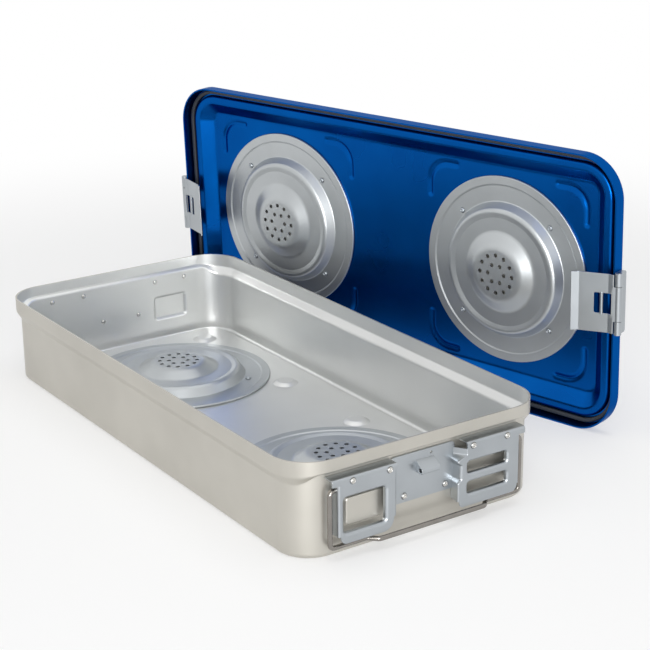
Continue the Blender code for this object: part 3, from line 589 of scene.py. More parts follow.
def joined(name: str, placed: list[tuple[Mesh, Matrix]]) -> Mesh:
    """Join meshes into one, each moved by its own matrix.

    Args:
        name: Name of the joined mesh.
        placed: Meshes and matrices.

    Returns:
        The joined mesh.
    """
    items = []
    for mesh, place in placed:
        mesh.transform(place)
        items.append(put("join", mesh))
    with bpy.context.temp_override(active_object=items[0], selected_editable_objects=items):
        bpy.ops.object.join()
    made = items[0].data
    made.name = name
    bpy.data.objects.remove(items[0], do_unlink=True)
    return made


def show(
    name: str,
    mesh: Mesh,
    place: Matrix,
    finish: Finish,
    body: str,
    nodes: list[str],
    painted_light_lining: Finish | None = None,
) -> None:
    """Put a mesh of millimetres in the scene as a piece that stands for CAD nodes.

    Args:
        name: Name of the piece.
        mesh: Mesh in its own frame.
        place: Where that frame stands, in metres.
        finish: Its finish.
        body: CAD body that it rides on.
        nodes: CAD nodes that it stands for.
        painted_light_lining: Finish of the faces behind, for a lined sheet, whose paler colour is painted
            light.
    """
    mesh.transform(place @ Matrix.Scale(MM, 4))
    mesh.name = name
    if painted_light_lining:
        mesh.materials[0] = finish.material()
        mesh.materials[1] = painted_light_lining.material()
    else:
        mesh.materials.clear()
        mesh.materials.append(finish.material())
    piece = put(name, mesh)
    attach(piece, body)
    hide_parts(*nodes)
    LOG.info("%s: %d faces on %s, for %s", name, len(mesh.polygons), body, ", ".join(nodes))


@dataclass(frozen=True)
class Stations:
    """Where the sub-assemblies stand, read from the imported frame.

    Attributes:
        tray: Frame of the tray, at its middle on the floor.
        lid: Frame of the lid, with its rim plane at zero and its panel toward plus Z.
        hinge_rise: Height of the hinge axis over the rim plane, in millimetres.
        hinge_out: Distance of the hinge axis from the lid's middle, in millimetres.
    """

    tray: Matrix
    lid: Matrix
    hinge_rise: float
    hinge_out: float

    @classmethod
    def read(cls, joints: list[dict], hinge_rise: float) -> "Stations":
        """Work the frames out of the tray's box and the latch hinges.

        Args:
            joints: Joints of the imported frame.
            hinge_rise: Height of the hinge axis over the rim plane, in millimetres.

        Returns:
            The frames.
        """
        low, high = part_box("tray_shell")
        middle = (low + high) / 2
        tray = Matrix.Translation((middle.x, middle.y, low.z))
        named = {joint["name"]: joint for joint in joints}
        right = Vector(named["latch_right_swing"]["pos_m"])
        left = Vector(named["latch_left_swing"]["pos_m"])
        along = (right - left).normalized()
        across = -Vector(named["latch_right_swing"]["axis"]).normalized()
        away = along.cross(across).normalized()
        origin = (right + left) / 2 - away * hinge_rise * MM
        turn = Matrix((along, across, away)).transposed().to_4x4()
        out = (right - left).length / 2 / MM
        return cls(tray, Matrix.Translation(origin) @ turn, hinge_rise, out)

    def end(self, side: Side) -> Matrix:
        """Give the frame of one end of the tray, with plus X outward."""
        return self.tray @ side.matrix

    def hinge(self, side: Side) -> Matrix:
        """Give the frame of one latch hinge, with Y along the pin."""
        shift = Matrix.Translation((self.hinge_out * MM, 0, self.hinge_rise * MM))
        return self.lid @ side.matrix @ shift


@dataclass
class VentLayout:
    """Where the vents and what goes with them lie on a panel, in millimetres."""

    pitch: float = 152.0
    hole_ring: float = 30.0
    hole_radius: float = 6.0
    hole_count: int = 6
    hole_steps: int = 24
    rivet_ring: float = 77.0
    rivet_count: int = 4

    def centres(self) -> list[Flat]:
        """List the left and the right vent centre."""
        return [(-self.pitch, 0.0), (self.pitch, 0.0)]

    def holes(self) -> list[list[Flat]]:
        """List the outlines of the panel's holes behind the vents: one in the middle and a ring of them.

        Returns:
            One outline for each hole.
        """
        outlines = []
        for centre in self.centres():
            spots = [centre, *circle(centre, self.hole_ring, self.hole_count)]
            outlines.extend(circle(spot, self.hole_radius, self.hole_steps) for spot in spots)
        return outlines

    def rivets(self) -> list[Flat]:
        """List the places of the vents' rivets, on the diagonals of each vent."""
        rings = [circle(centre, self.rivet_ring, 2 * self.rivet_count)[1::2] for centre in self.centres()]
        return [spot for ring in rings for spot in ring]


@dataclass(kw_only=True)
class Pan:
    """A pan with round corners, drawn from one sheet, in millimetres."""

    length: float
    width: float
    corner: float
    sheet: float = 1.6
    edge: float = 0.35

    def ring(self, inset: float, level: float) -> Loop:
        """List one level ring of the pan, from the right end counter-clockwise.

        Args:
            inset: How far the ring lies inside the outline.
            level: Its height.

        Returns:
            The ring's points.
        """
        half = (self.length / 2, self.width / 2)
        outline = round_rectangle((-half[0], -half[1]), half, self.corner, PAN_STEPS, -inset)
        return lift(outline, "Z", level)


@dataclass(kw_only=True)
class TrayShell(Pan):
    """The drawn tray: stepped rim, foot ring, floor bumps and one pocket in each end wall."""

    height: float
    corner: float = 38.0
    end_band: float = 12.0
    end_drop: float = 1.4
    end_bend: float = 1.7
    side_band: float = 15.0
    side_drop: float = 8.0
    side_bend: float = 6.0
    step: float = 4.8
    # Shares of the corner radius between which the step turns from that of the ends to that of the sides
    step_blend: Flat = (0.2, 0.75)
    foot_edge: float = 5.0
    foot_flat: float = 4.0
    foot_slope: float = 5.0
    foot_bends: Flat = (2.2, 3.0)
    floor_rise: float = 6.0
    floor_run: float = 3.0
    bend_steps: int = 10
    bump_radius: float = 14.0
    bump_top: float = 7.0
    bump_height: float = 3.2
    bump_offset: Flat = (86.0, 82.0)
    bump_rings: int = 8
    bump_steps: int = 32
    pocket_middle: Flat = (-64.3, 39.0)
    pocket_half: Flat = (21.0, 14.0)
    pocket_corner: float = 4.5
    pocket_depth: float = 3.0
    pocket_margin: float = 3.0
    # How far outside the pocket's outline its sloped side starts and ends
    pocket_side: Flat = (0.8, -1.7)
    pocket_bend: float = 1.6

    @property
    def wall(self) -> float:
        """Give the outer face of the end wall, from the middle."""
        return self.length / 2 - self.step

    def profile(self, band: float, drop: float, bend: float) -> Loop:
        """List inset and height down the outer face, from rim to floor.

        Args:
            band: Height of the rim band.
            drop: Height of the step under it.
            bend: Radius of the step's bends.

        Returns:
            The profile with its bends rounded.
        """
        low = self.height - band
        foot = self.step + self.foot_edge + self.foot_flat
        corners = [
            (0.0, self.height),
            (0.0, low),
            (self.step, low - drop),
            (self.step, 0.0),
            (foot, 0.0),
            (foot + self.foot_slope, self.floor_rise),
            (foot + self.foot_slope + self.floor_run, self.floor_rise),
        ]
        radii = [bend, bend, self.foot_edge, *self.foot_bends]
        return rounded_path(corners, radii, self.bend_steps, even=True)

    def rings(self) -> list[Loop]:
        """Lay the profile round the tray, with a lower and softer step on the sides than on the ends.

        Returns:
            One ring for each point of the profile, from rim to floor.
        """
        ends = self.profile(self.end_band, self.end_drop, self.end_bend)
        sides = self.profile(self.side_band, self.side_drop, self.side_bend)
        first, last = (share * self.corner for share in self.step_blend)
        rings = []
        for at_end, at_side in zip(ends, sides):
            ring = []
            for one, other in zip(self.ring(*at_end), self.ring(*at_side)):
                reach = abs(one.y) - (self.width / 2 - self.corner)
                ring.append(one.lerp(other, smooth_step(first, last, reach)))
            rings.append(ring)
        return rings

    def bumps(self, skin: Skin, vents: VentLayout) -> list[Verts]:
        """Press the round bumps up round each vent.

        Args:
            skin: Skin to build on.
            vents: Vent layout.

        Returns:
            The loops where the bumps meet the floor.
        """
        out, across = self.bump_offset
        columns = [x + sign * out for x, _ in vents.centres() for sign in (-1, 1)]
        spots = [(x, y) for x in columns for y in (-across, across)]
        loops = []
        for spot in spots:
            rows = []
            for ring in range(self.bump_rings + 1):
                part = ring / self.bump_rings
                radius = self.bump_radius + (self.bump_top - self.bump_radius) * part
                level = self.floor_rise + self.bump_height * pressed_rise(part)
                rows.append(lift(circle(spot, radius, self.bump_steps), "Z", level))
            made = skin.loft(rows)
            skin.bm.faces.new(made[-1])
            loops.append(made[0])
        return loops

    def pocket(self, skin: Skin, side: Side) -> Verts:
        """Press the shallow pocket out of an end wall.

        Args:
            skin: Skin to build on.
            side: Which end.

        Returns:
            The loop where the pocket meets the wall.
        """
        (y, z), (half_y, half_z) = self.pocket_middle, self.pocket_half
        low, high = (y - half_y, z - half_z), (y + half_y, z + half_z)
        corners = [
            (self.pocket_margin, 0.0),
            (self.pocket_side[0], 0.0),
            (self.pocket_side[1], self.pocket_depth),
            (-self.pocket_corner, self.pocket_depth),
        ]
        rows = []
        for grow, depth in rounded_path(corners, [self.pocket_bend] * 2):
            outline = round_rectangle(low, high, self.pocket_corner, grow=grow)
            rows.append([side.matrix @ point for point in lift(outline, "X", self.wall + depth)])
        made = skin.loft(rows)
        skin.bm.faces.new(made[-1])
        return made[0]

    def mesh(self, vents: VentLayout) -> Mesh:
        """Build the tray in its own frame.

        Args:
            vents: Vent layout.

        Returns:
            The mesh.
        """
        skin = Skin()
        rings = self.rings()
        drops = [one[0].z - other[0].z for one, other in zip(rings, rings[1:])]
        plain = drops.index(max(drops))
        quarter = PAN_STEPS + 1
        # The flat of each end wall is left open at its tallest row, then filled round the pocket
        gaps = {Side.RIGHT: 4 * quarter - 1, Side.LEFT: 2 * quarter - 1}
        rows = skin.loft(rings, skip={(plain, gap) for gap in gaps.values()})
        high, low = rows[plain], rows[plain + 1]
        for side, gap in gaps.items():
            after = (gap + 1) % len(high)
            skin.fill([high[gap], high[after], low[after], low[gap]], self.pocket(skin, side))
        holes = [skin.outline(hole, "Z", self.floor_rise) for hole in vents.holes()]
        skin.fill(rows[-1], *self.bumps(skin, vents), *holes)
        return worked(skin.mesh("tray", (0, 0, -1)), self.sheet, self.edge, lined=True)


@dataclass
class VentPlate:
    """A round stepped vent plate with a perforated middle, standing on a panel at z = 0."""

    seat: float = 0.3
    sheet: float = 1.2
    edge: float = 0.25
    radius: float = 99.0
    rim_drop: float = 1.0
    rim_draft: float = 0.2
    lip: float = 0.9
    lip_radius: float = 89.5
    lip_half: float = 0.9
    step_foot: float = 72.0
    crest_radius: float = 65.2
    crest_rise: float = 11.0
    crease_radius: float = 57.3
    step_rise: float = 9.0
    dome_foot: float = 42.5
    flat_radius: float = 28.5
    flat_rise: float = 16.5
    flat_run: float = 5.5
    bends: tuple[float, ...] = (1.0, 0.8, 0.8, 1.6, 5.2, 1.4, 9.0, 17.0)
    bend_steps: int = 24
    steps: int = 128
    hole_radius: float = 2.2
    hole_steps: int = 20
    # Number of holes in each ring and the ring's radius
    hole_rings: tuple[tuple[int, float], ...] = ((12, 20.0), (6, 10.0))

    @property
    def flat_level(self) -> float:
        """Give the height of the flat middle's upper face."""
        return self.flat_rise + self.sheet

    def profile(self) -> Loop:
        """List radius and height of the upper face, from the edge inward.

        Returns:
            The profile with its bends rounded.
        """
        low = self.seat + self.sheet
        step = self.step_rise + self.sheet
        corners = [
            (self.radius, low - self.rim_drop),
            (self.radius - self.rim_draft, low + self.lip),
            (self.lip_radius + self.lip_half, low + self.lip),
            (self.lip_radius - self.lip_half, low),
            (self.step_foot, low),
            (self.crest_radius, self.crest_rise + self.sheet),
            (self.crease_radius, step),
            (self.dome_foot, step),
            (self.flat_radius, self.flat_level),
            (self.flat_radius - self.flat_run, self.flat_level),
        ]
        return rounded_path(corners, self.bends, self.bend_steps)

    @staticmethod
    def perforate(tree: Tree, given: Any) -> Socket:
        """Draw a round hole at each point.

        Args:
            tree: Tree to add to.
            given: Its named inputs.

        Returns:
            The outlines.
        """
        ring = {"Vertices": given["Steps"], "Radius": given["Radius"]}
        hole = add_node(tree, "GeometryNodeMeshCircle", ring)
        copies = {"Points": given["Geometry"], "Instance": hole.outputs["Mesh"]}
        return add_node(tree, "GeometryNodeInstanceOnPoints", copies).outputs["Instances"]

    def holes(self) -> list[list[Flat]]:
        """Draw the outlines of the perforations in the flat middle.

        Returns:
            One flat outline for each hole.
        """
        spots = [spot for count, ring in self.hole_rings for spot in circle((0.0, 0.0), ring, count)]
        cloud = bpy.data.meshes.new("hole_points")
        cloud.from_pydata(lift(spots, "Z", self.flat_level), [], [])
        tree = growing_tree("perforations", {"Radius": "Float", "Steps": "Int"}, self.perforate)
        values = {"Radius": self.hole_radius, "Steps": self.hole_steps, "Finish": BLASTED.material()}
        drawn = grown(cloud, tree, values)
        points = [(vert.co.x, vert.co.y) for vert in drawn.vertices]
        bpy.data.meshes.remove(drawn)
        return [points[start : start + self.hole_steps] for start in range(0, len(points), self.hole_steps)]

    def mesh(self) -> Mesh:
        """Build the plate in its own frame.

        Returns:
            The mesh.
        """
        skin = Skin()
        rows = skin.lathe(self.profile(), self.steps)
        skin.fill(rows[-1], *[skin.outline(hole, "Z", self.flat_level) for hole in self.holes()])
        return worked(skin.mesh("vent", (0, 0, 1)), self.sheet, self.edge)


@dataclass(kw_only=True)
class LidShell(Pan):
    """The drawn lid: skirt, gasket channel, inner ridge, sloped side and bent beads round the vents."""

    length: float = 590.0
    width: float = 283.0
    corner: float = 43.0
    skirt_rise: float = 13.0
    channel_width: float = 7.5
    channel_slope: float = 1.0
    ridge_rise: float = 8.5
    ridge_width: float = 6.0
    panel_rise: float = 21.0
    panel_slope: float = 13.5
    panel_run: float = 3.0
    bends: tuple[float, ...] = (2.6, 1.0, 1.8, 2.8, 7.0)
    bead_half: float = 5.4
    bead_height: float = 1.8
    bead_offset: Flat = (97.0, 101.0)
    bead_bend: float = 22.0
    bead_legs: Flat = (12.0, 13.0)
    bead_steps: int = 14
    bead_rings: int = 7
    cap_steps: int = 8
    gasket_inset: Flat = (3.4, 7.8)
    gasket_low: float = 9.0
    gasket_gap: float = 0.1
    gasket_round: float = 1.6
    gasket_steps: int = 5

    @property
    def panel(self) -> float:
        """Give the height of the panel's outer face."""
        return self.panel_rise + self.sheet

    def profile(self) -> Loop:
        """List inset and height over the outer face, from skirt edge to panel.

        Returns:
            The profile with its bends rounded.
        """
        skirt = self.skirt_rise + self.sheet
        crest = self.ridge_rise + self.sheet
        channel = self.sheet + self.channel_width + self.sheet
        ridge = channel + self.channel_slope
        slope = ridge + self.ridge_width
        corners = [
            (0.0, 0.0),
            (0.0, skirt),
            (channel, skirt),
            (ridge, crest),
            (slope, crest),
            (slope + self.panel_slope, self.panel),
            (slope + self.panel_slope + self.panel_run, self.panel),
        ]
        return rounded_path(corners, self.bends)

    def bead(self, skin: Skin, centre: Flat, signs: Flat) -> Verts:
        """Press one bent bead into the panel.

        Args:
            skin: Skin to build on.
            centre: Centre of the vent beside it.
            signs: Which quarter of the vent it lies in.

        Returns:
            The loop where the bead meets the panel.
        """
        x, y = (middle + sign * out for middle, sign, out in zip(centre, signs, self.bead_offset))
        leg_x, leg_y = (sign * (self.bead_bend + leg) for sign, leg in zip(signs, self.bead_legs))
        path = rounded_path([(x, y - leg_y), (x, y), (x - leg_x, y)], [self.bead_bend], self.bead_steps)
        sides = []
        for before, after in zip([path[0], *path], [*path[1:], path[-1]]):
            along = (after - before).normalized()
            sides.append(Vector((-along.y, along.x)))
        rows = []
        for ring in range(self.bead_rings + 1):
            part = ring / self.bead_rings
            reach = self.bead_half * (1 - part)
            outline = [place + side * reach for place, side in zip(path, sides)]
            outline.extend(self.cap(path[-1], sides[-1], reach))
            outline.extend(place - side * reach for place, side in zip(reversed(path), reversed(sides)))
            outline.extend(self.cap(path[0], -sides[0], reach))
            rows.append(lift(outline, "Z", self.panel + self.bead_height * pressed_rise(part)))
        return skin.loft(rows)[0]

    def cap(self, end: Vector, side: Vector, reach: float) -> Loop:
        """List the points round one end of a bead.

        Args:
            end: End of the centre line.
            side: Direction to the side where the round starts.
            reach: Radius of the round.

        Returns:
            The points between the two sides.
        """
        start = math.atan2(side.y, side.x)
        angles = [start - math.pi * step / self.cap_steps for step in range(1, self.cap_steps)]
        return [end + Vector((math.cos(angle), math.sin(angle))) * reach for angle in angles]

    def mesh(self, vents: VentLayout) -> Mesh:
        """Build the lid in its own frame.

        Args:
            vents: Vent layout.

        Returns:
            The mesh.
        """
        skin = Skin()
        rows = skin.loft([self.ring(inset, level) for inset, level in self.profile()])
        loops = [skin.outline(hole, "Z", self.panel) for hole in vents.holes()]
        quarters = [(side_x, side_y) for side_x in (-1, 1) for side_y in (-1, 1)]
        for centre in vents.centres():
            loops.extend(self.bead(skin, centre, signs) for signs in quarters)
        skin.fill(rows[-1], *loops)
        return worked(skin.mesh("lid", (0, 0, 1)), self.sheet, self.edge)

    def gasket(self) -> Mesh:
        """Build the gasket ring that lies in the channel.

        Returns:
            The mesh.
        """
        low = (self.gasket_inset[0], self.gasket_low)
        high = (self.gasket_inset[1], self.skirt_rise - self.gasket_gap)
        section = round_rectangle(low, high, self.gasket_round, self.gasket_steps)
        rows = [self.ring(inset, level) for inset, level in section]
        skin = Skin()
        skin.loft([*rows, rows[0]])
        return worked(skin.mesh("gasket"), 0.0, 0.0)


@dataclass
class Fittings:
    """What is riveted on an end of the tray, in the frame of that end."""

    wall: float
    top: float
    gap: float = 0.3
    sheet: float = 1.2
    edge: float = 0.3
    depth: float = 12.5
    bottom: float = 15.0
    outer: float = 98.0
    outer_foot: float = 7.0
    outer_corner: float = 8.0
    ear: float = 104.0
    ear_height: float = 6.0
    bend: float = 2.2
    shelf_drop: float = 2.86
    arc_steps: int = 8
    label_inner: float = 37.0
    label_bend: float = 3.52
    label_foot: float = 12.0
    label_corner: float = 14.0
    window_low: Flat = (-92.0, 24.5)
    window_high: Flat = (-49.0, 57.0)
    window_corner: float = 3.0
    window_turn: float = 3.4
    turn_run: float = 1.6
    turn_steps: int = 12
    tag_root: float = 30.0
    tag_inner: float = 28.3
    tag_bend: float = 1.6
    tag_foot: float = 6.0
    tag_corner: float = 6.0
    tag_levels: int = 110
    tag_cut: float = 38.8
    # Heights between which the tag holder's inner edge steps back
    tag_cut_z: Flat = (59.3, 64.3)
    scoop_inner: float = 32.0
    scoop_bend: float = 3.2
    scoop_z: Flat = (40.0, 56.4)
    scoop_end: float = 1.8
    slot_y: Flat = (39.8, 84.0)
    slot_height: float = 11.0
    slot_bottoms: Flat = (26.2, 45.6)
    slot_corner: float = 2.5
    slot_turn: float = 3.0
    strike_y: Flat = (-36.4, 32.6)
    strike_bottom: float = 31.0
    strike_corner: float = 4.0
    strike_sheet: float = 1.5
    strike_edge: float = 0.35
    lug_half: float = 9.8
    lug_height: float = 11.5
    lug_drop: float = 7.5
    lug_lip: float = 4.4
    lug_reach: float = 9.5
    lug_sunk: float = 0.5
    lug_seam: float = 2.0
    lug_bends: Flat = (1.9, 2.2)
    lug_edge: float = 0.5
    seal_radius: float = 2.0
    seal_in: Flat = (3.3, 3.0)
    wire_hole: Flat = (7.0, 71.0)
    wire_radius: float = 1.3
    hole_steps: int = 20
    rivet_y: Flat = (45.2, 83.4)
    rivet_drop: float = 4.0
    strike_rivet: Flat = (22.4, 37.0)
    pivot_out: float = 6.3

    @property
    def face(self) -> float:
        """Give the front face of the holders."""
        return self.wall + self.depth

    @property
    def shoulder(self) -> float:
        """Give the height of the holders' ears at their lower side."""
        return self.top - self.ear_height

    @property
    def strike_face(self) -> float:
        """Give the front face of the strike plate."""
        return self.wall + self.gap + self.strike_sheet

    def levels(self, foot: float, count: int = 1) -> list[float]:
        """List even heights from a flange's foot, given over the bottom, up to the shoulder."""
        low = self.bottom + foot
        return [low + (self.shoulder - low) * index / count for index in range(count + 1)]

    def flange(self, root: float, corner: float, radius: float, level: float, sign: float) -> Loop:
        """List one level of a flange, from the wall round its bend to the front plate.

        Args:
            root: Y at the wall.
            corner: Y of the bend's corner at the front.
            radius: Radius of the bend.
            level: Height.
            sign: Which way the front plate lies from the flange.

        Returns:
            Points of this level.
        """
        start = (self.wall + self.gap, root)
        corners = [start, (self.face, corner), (self.face, corner + sign * 2 * radius)]
        return lift(rounded_path(corners, [radius], even=True)[:-1], "Z", level)

    def shelf(self, skin: Skin, low_y: float, high_y: float) -> Verts:
        """Bend the top of a holder back to the wall.

        Args:
            skin: Skin to build on.
            low_y: Lowest Y of the shelf.
            high_y: Highest Y of the shelf.

        Returns:
            The two vertices where it meets the front plate, low then high.
        """
        corners = [
            (self.face, self.top - self.shelf_drop),
            (self.face, self.top),
            (self.wall + self.gap, self.top),
        ]
        section = rounded_path(corners, [self.bend])
        made = skin.loft([lift(section, "Y", y) for y in (low_y, high_y)], closed=False)
        return [row[0] for row in made]

    def turned_hole(self, skin: Skin, low: Flat, high: Flat, corner: float, turn: float) -> Verts:
        """Turn the edge of a window inward with a round bend.

        Args:
            skin: Skin to build on.
            low: Lowest corner of the clear opening.
            high: Highest corner of the clear opening.
            corner: Its corner radius.
            turn: Radius of the bend.

        Returns:
            The loop where the bend meets the front plate.
        """
        section = [(turn, 0.0), (0.0, 0.0), (0.0, turn + self.turn_run)]
        rows = []
        for grow, back in rounded_path(section, [turn], self.turn_steps)[1:]:
            rows.append(lift(round_rectangle(low, high, corner, grow=grow), "X", self.face - back))
        return skin.loft(rows)[0]

    def corner_arc(self, start: Flat, end: Flat) -> list[Flat]:
        """List the points of a quarter round between a flange's foot and a holder's lower edge.

        Args:
            start: Foot of the flange at the front.
            end: Where the lower edge begins.

        Returns:
            Points after the start, up to the end.
        """
        wide, tall = start[0] - end[0], end[1] - start[1]
        angles = [math.pi / 2 * step / self.arc_steps for step in range(1, self.arc_steps + 1)]
        return [(end[0] + wide * math.cos(angle), start[1] + tall * math.sin(angle)) for angle in angles]

    def holder(
        self,
        name: str,
        flanges: tuple[list[Loop], list[Loop]],
        shelf: Flat,
        feet: Flat,
        openings: list[tuple[Flat, Flat, float, float]],
    ) -> Mesh:
        """Bend a holder up from two flanges, a shelf and a front plate with openings.

        Args:
            name: Name of the mesh.
            flanges: Levels of the flange at the lower Y and of the one at the higher Y, from the foot up.
            shelf: Lowest and highest Y of the shelf, which reaches out as ears.
            feet: Lowest and highest Y of the straight lower edge.
            openings: Low corner, high corner, corner radius and edge bend of each opening.

        Returns:
            The mesh.
        """
        skin = Skin()
        left, right = ([row[-1] for row in skin.loft(levels, closed=False)] for levels in flanges)
        ledge = self.shelf(skin, *shelf)
        low_arc, high_arc = (
            self.corner_arc((flange[0].co.y, flange[0].co.z), (foot, self.bottom))
            for flange, foot in zip((left, right), feet)
        )
        outline = [
            *skin.outline([(shelf[0], self.shoulder)], "X", self.face),
            *reversed(left),
            *skin.outline([*low_arc, *reversed(high_arc)], "X", self.face),
            *right,
            *skin.outline([(shelf[1], self.shoulder)], "X", self.face),
            *reversed(ledge),
        ]
        skin.fill(outline, *[self.turned_hole(skin, *opening) for opening in openings])
        return worked(skin.mesh(name, (1, 0, 0)), self.sheet, self.edge)

    def label_holder(self) -> Mesh:
        """Build the holder with the label window.

        Returns:
            The mesh.
        """
        outer, inner = -self.outer, -self.label_inner
        left = [self.flange(outer, outer, self.bend, z, 1) for z in self.levels(self.outer_foot)]
        right = [self.flange(inner, inner, self.label_bend, z, -1) for z in self.levels(self.label_foot)]
        feet = (outer + self.outer_corner, inner - self.label_corner)
        window = (self.window_low, self.window_high, self.window_corner, self.window_turn)
        return self.holder("label_holder", (left, right), (-self.ear, inner), feet, [window])

    def tag_edge(self, level: float) -> Flat:
        """Give the inner bend of the tag holder at one height.

        Args:
            level: Height.

        Returns:
            Y of the bend's corner and its radius.
        """
        low, high = self.scoop_z
        cut = smooth_step(*self.tag_cut_z, level)
        scoop = smooth_step(low - self.scoop_end, low + self.scoop_end, level)
        scoop *= 1.0 - smooth_step(high - self.scoop_end, high + self.scoop_end, level)
        set_back = (self.tag_cut - self.tag_inner) * cut + (self.scoop_inner - self.tag_inner) * scoop
        return self.tag_inner + set_back, self.tag_bend + (self.scoop_bend - self.tag_bend) * scoop

    def tag_holder(self) -> Mesh:
        """Build the holder with two tag slots, a finger scoop and a cut-back upper edge.

        Returns:
            The mesh.
        """
        heights = self.levels(self.tag_foot, self.tag_levels)
        left = [self.flange(self.tag_root, *self.tag_edge(z), z, 1) for z in heights]
        right = [self.flange(self.outer, self.outer, self.bend, z, -1) for z in self.levels(self.outer_foot)]
        feet = (self.tag_inner + self.tag_corner, self.outer - self.outer_corner)
        left_y, right_y = self.slot_y
        slots = [
            ((left_y, low), (right_y, low + self.slot_height), self.slot_corner, self.slot_turn)
            for low in self.slot_bottoms
        ]
        return self.holder("tag_holder", (left, right), (self.tag_cut, self.ear), feet, slots)

    def strike_plate(self) -> Mesh:
        """Build the strike plate and its wedge lug with the seal hole.

        Returns:
            The mesh.
        """
        plate = Skin()
        low, high = (self.strike_y[0], self.strike_bottom), (self.strike_y[1], self.top)
        rim = plate.outline(round_rectangle(low, high, self.strike_corner), "X", self.strike_face)
        hole = circle(self.wire_hole, self.wire_radius, self.hole_steps)
        plate.fill(rim, plate.outline(hole, "X", self.strike_face))
        flat = worked(plate.mesh("strike", (1, 0, 0)), self.strike_sheet, self.strike_edge)

        foot = self.top - self.lug_drop - self.lug_height
        root = self.strike_face - self.lug_sunk
        tip = self.strike_face + self.lug_reach
        seam = (root, foot + self.lug_seam)
        corners = [
            seam,
            (root, foot),
            (tip, foot),
            (tip, foot + self.lug_lip),
            (root, foot + self.lug_height),
            seam,
        ]
        section = rounded_path(corners, [0.0, *self.lug_bends, 0.0])[:-1]
        hole = circle((tip - self.seal_in[0], foot + self.seal_in[1]), self.seal_radius, self.hole_steps)
        lug = Skin()
        ends = (-self.lug_half, self.lug_half)
        body, bore = (lug.loft([lift(loop, "Y", y) for y in ends]) for loop in (section, hole))
        for outer_loop, inner_loop in zip(body, bore):
            lug.fill(outer_loop, inner_loop)
        wedge = worked(lug.mesh("lug"), 0.0, self.lug_edge)
        return joined("strike_plate", [(flat, Matrix()), (wedge, Matrix())])

    def holder_rivets(self) -> Loop:
        """List where the holders' rivets sit on the front plates."""
        level = self.top - self.rivet_drop
        return [Vector((self.face, sign * y, level)) for y in self.rivet_y for sign in (-1, 1)]

    def strike_rivets(self) -> Loop:
        """List where the strike plate's rivets sit."""
        y, z = self.strike_rivet
        return [Vector((self.strike_face, sign * y, z)) for sign in (-1, 1)]


@dataclass
class Bail:
    """A wire bail handle with an offset grip, in the frame of an end."""

    pivot: Flat
    end_y: float = 93.0
    leg_y: float = 103.0
    drop: float = 53.0
    jog_y: float = 65.0
    grip_y: float = 57.0
    grip_out: float = 8.0
    wire: float = 2.25
    bend: float = 4.2
    edge: float = 0.4
    steps: int = 20

    def path(self) -> Loop:
        """List the middle line of the wire.

        Returns:
            Its points, with rounded bends.
        """
        x, z = self.pivot
        half = [
            (x, self.end_y, z),
            (x, self.leg_y, z),
            (x, self.leg_y, z - self.drop),
            (x, self.jog_y, z - self.drop),
            (x + self.grip_out, self.grip_y, z - self.drop),
        ]
        corners = half + [(x, -y, z) for x, y, z in reversed(half)]
        return rounded_path(corners, [self.bend] * (len(corners) - 2), even=True)

    @staticmethod
    def sweep(tree: Tree, given: Any) -> Socket:
        """Sweep a round wire along a path.

        Args:
            tree: Tree to add to.
            given: Its named inputs.

        Returns:
            The wire.
        """
        line = add_node(tree, "GeometryNodeMeshToCurve", {"Mesh": given["Geometry"]})
        section = {"Resolution": given["Steps"], "Radius": given["Radius"]}
        ring = add_node(tree, "GeometryNodeCurvePrimitiveCircle", section)
        route = {"Curve": line.outputs["Curve"], "Profile Curve": ring.outputs["Curve"], "Fill Caps": True}
        return add_node(tree, "GeometryNodeCurveToMesh", route).outputs["Mesh"]

    def mesh(self) -> Mesh:
        """Sweep the wire along its middle line.

        Returns:
            The mesh.
        """
        path = self.path()
        line = bpy.data.meshes.new("wire_line")
        line.from_pydata(path, [(index, index + 1) for index in range(len(path) - 1)], [])
        tree = growing_tree("swept_wire", {"Radius": "Float", "Steps": "Int"}, self.sweep)
        swept = grown(line, tree, {"Radius": self.wire, "Steps": self.steps, "Finish": SHADED_STEEL.material()})
        skin = Skin()
        skin.bm.from_mesh(swept)
        bpy.data.meshes.remove(swept)
        return worked(skin.mesh("bail"), 0.0, self.edge)


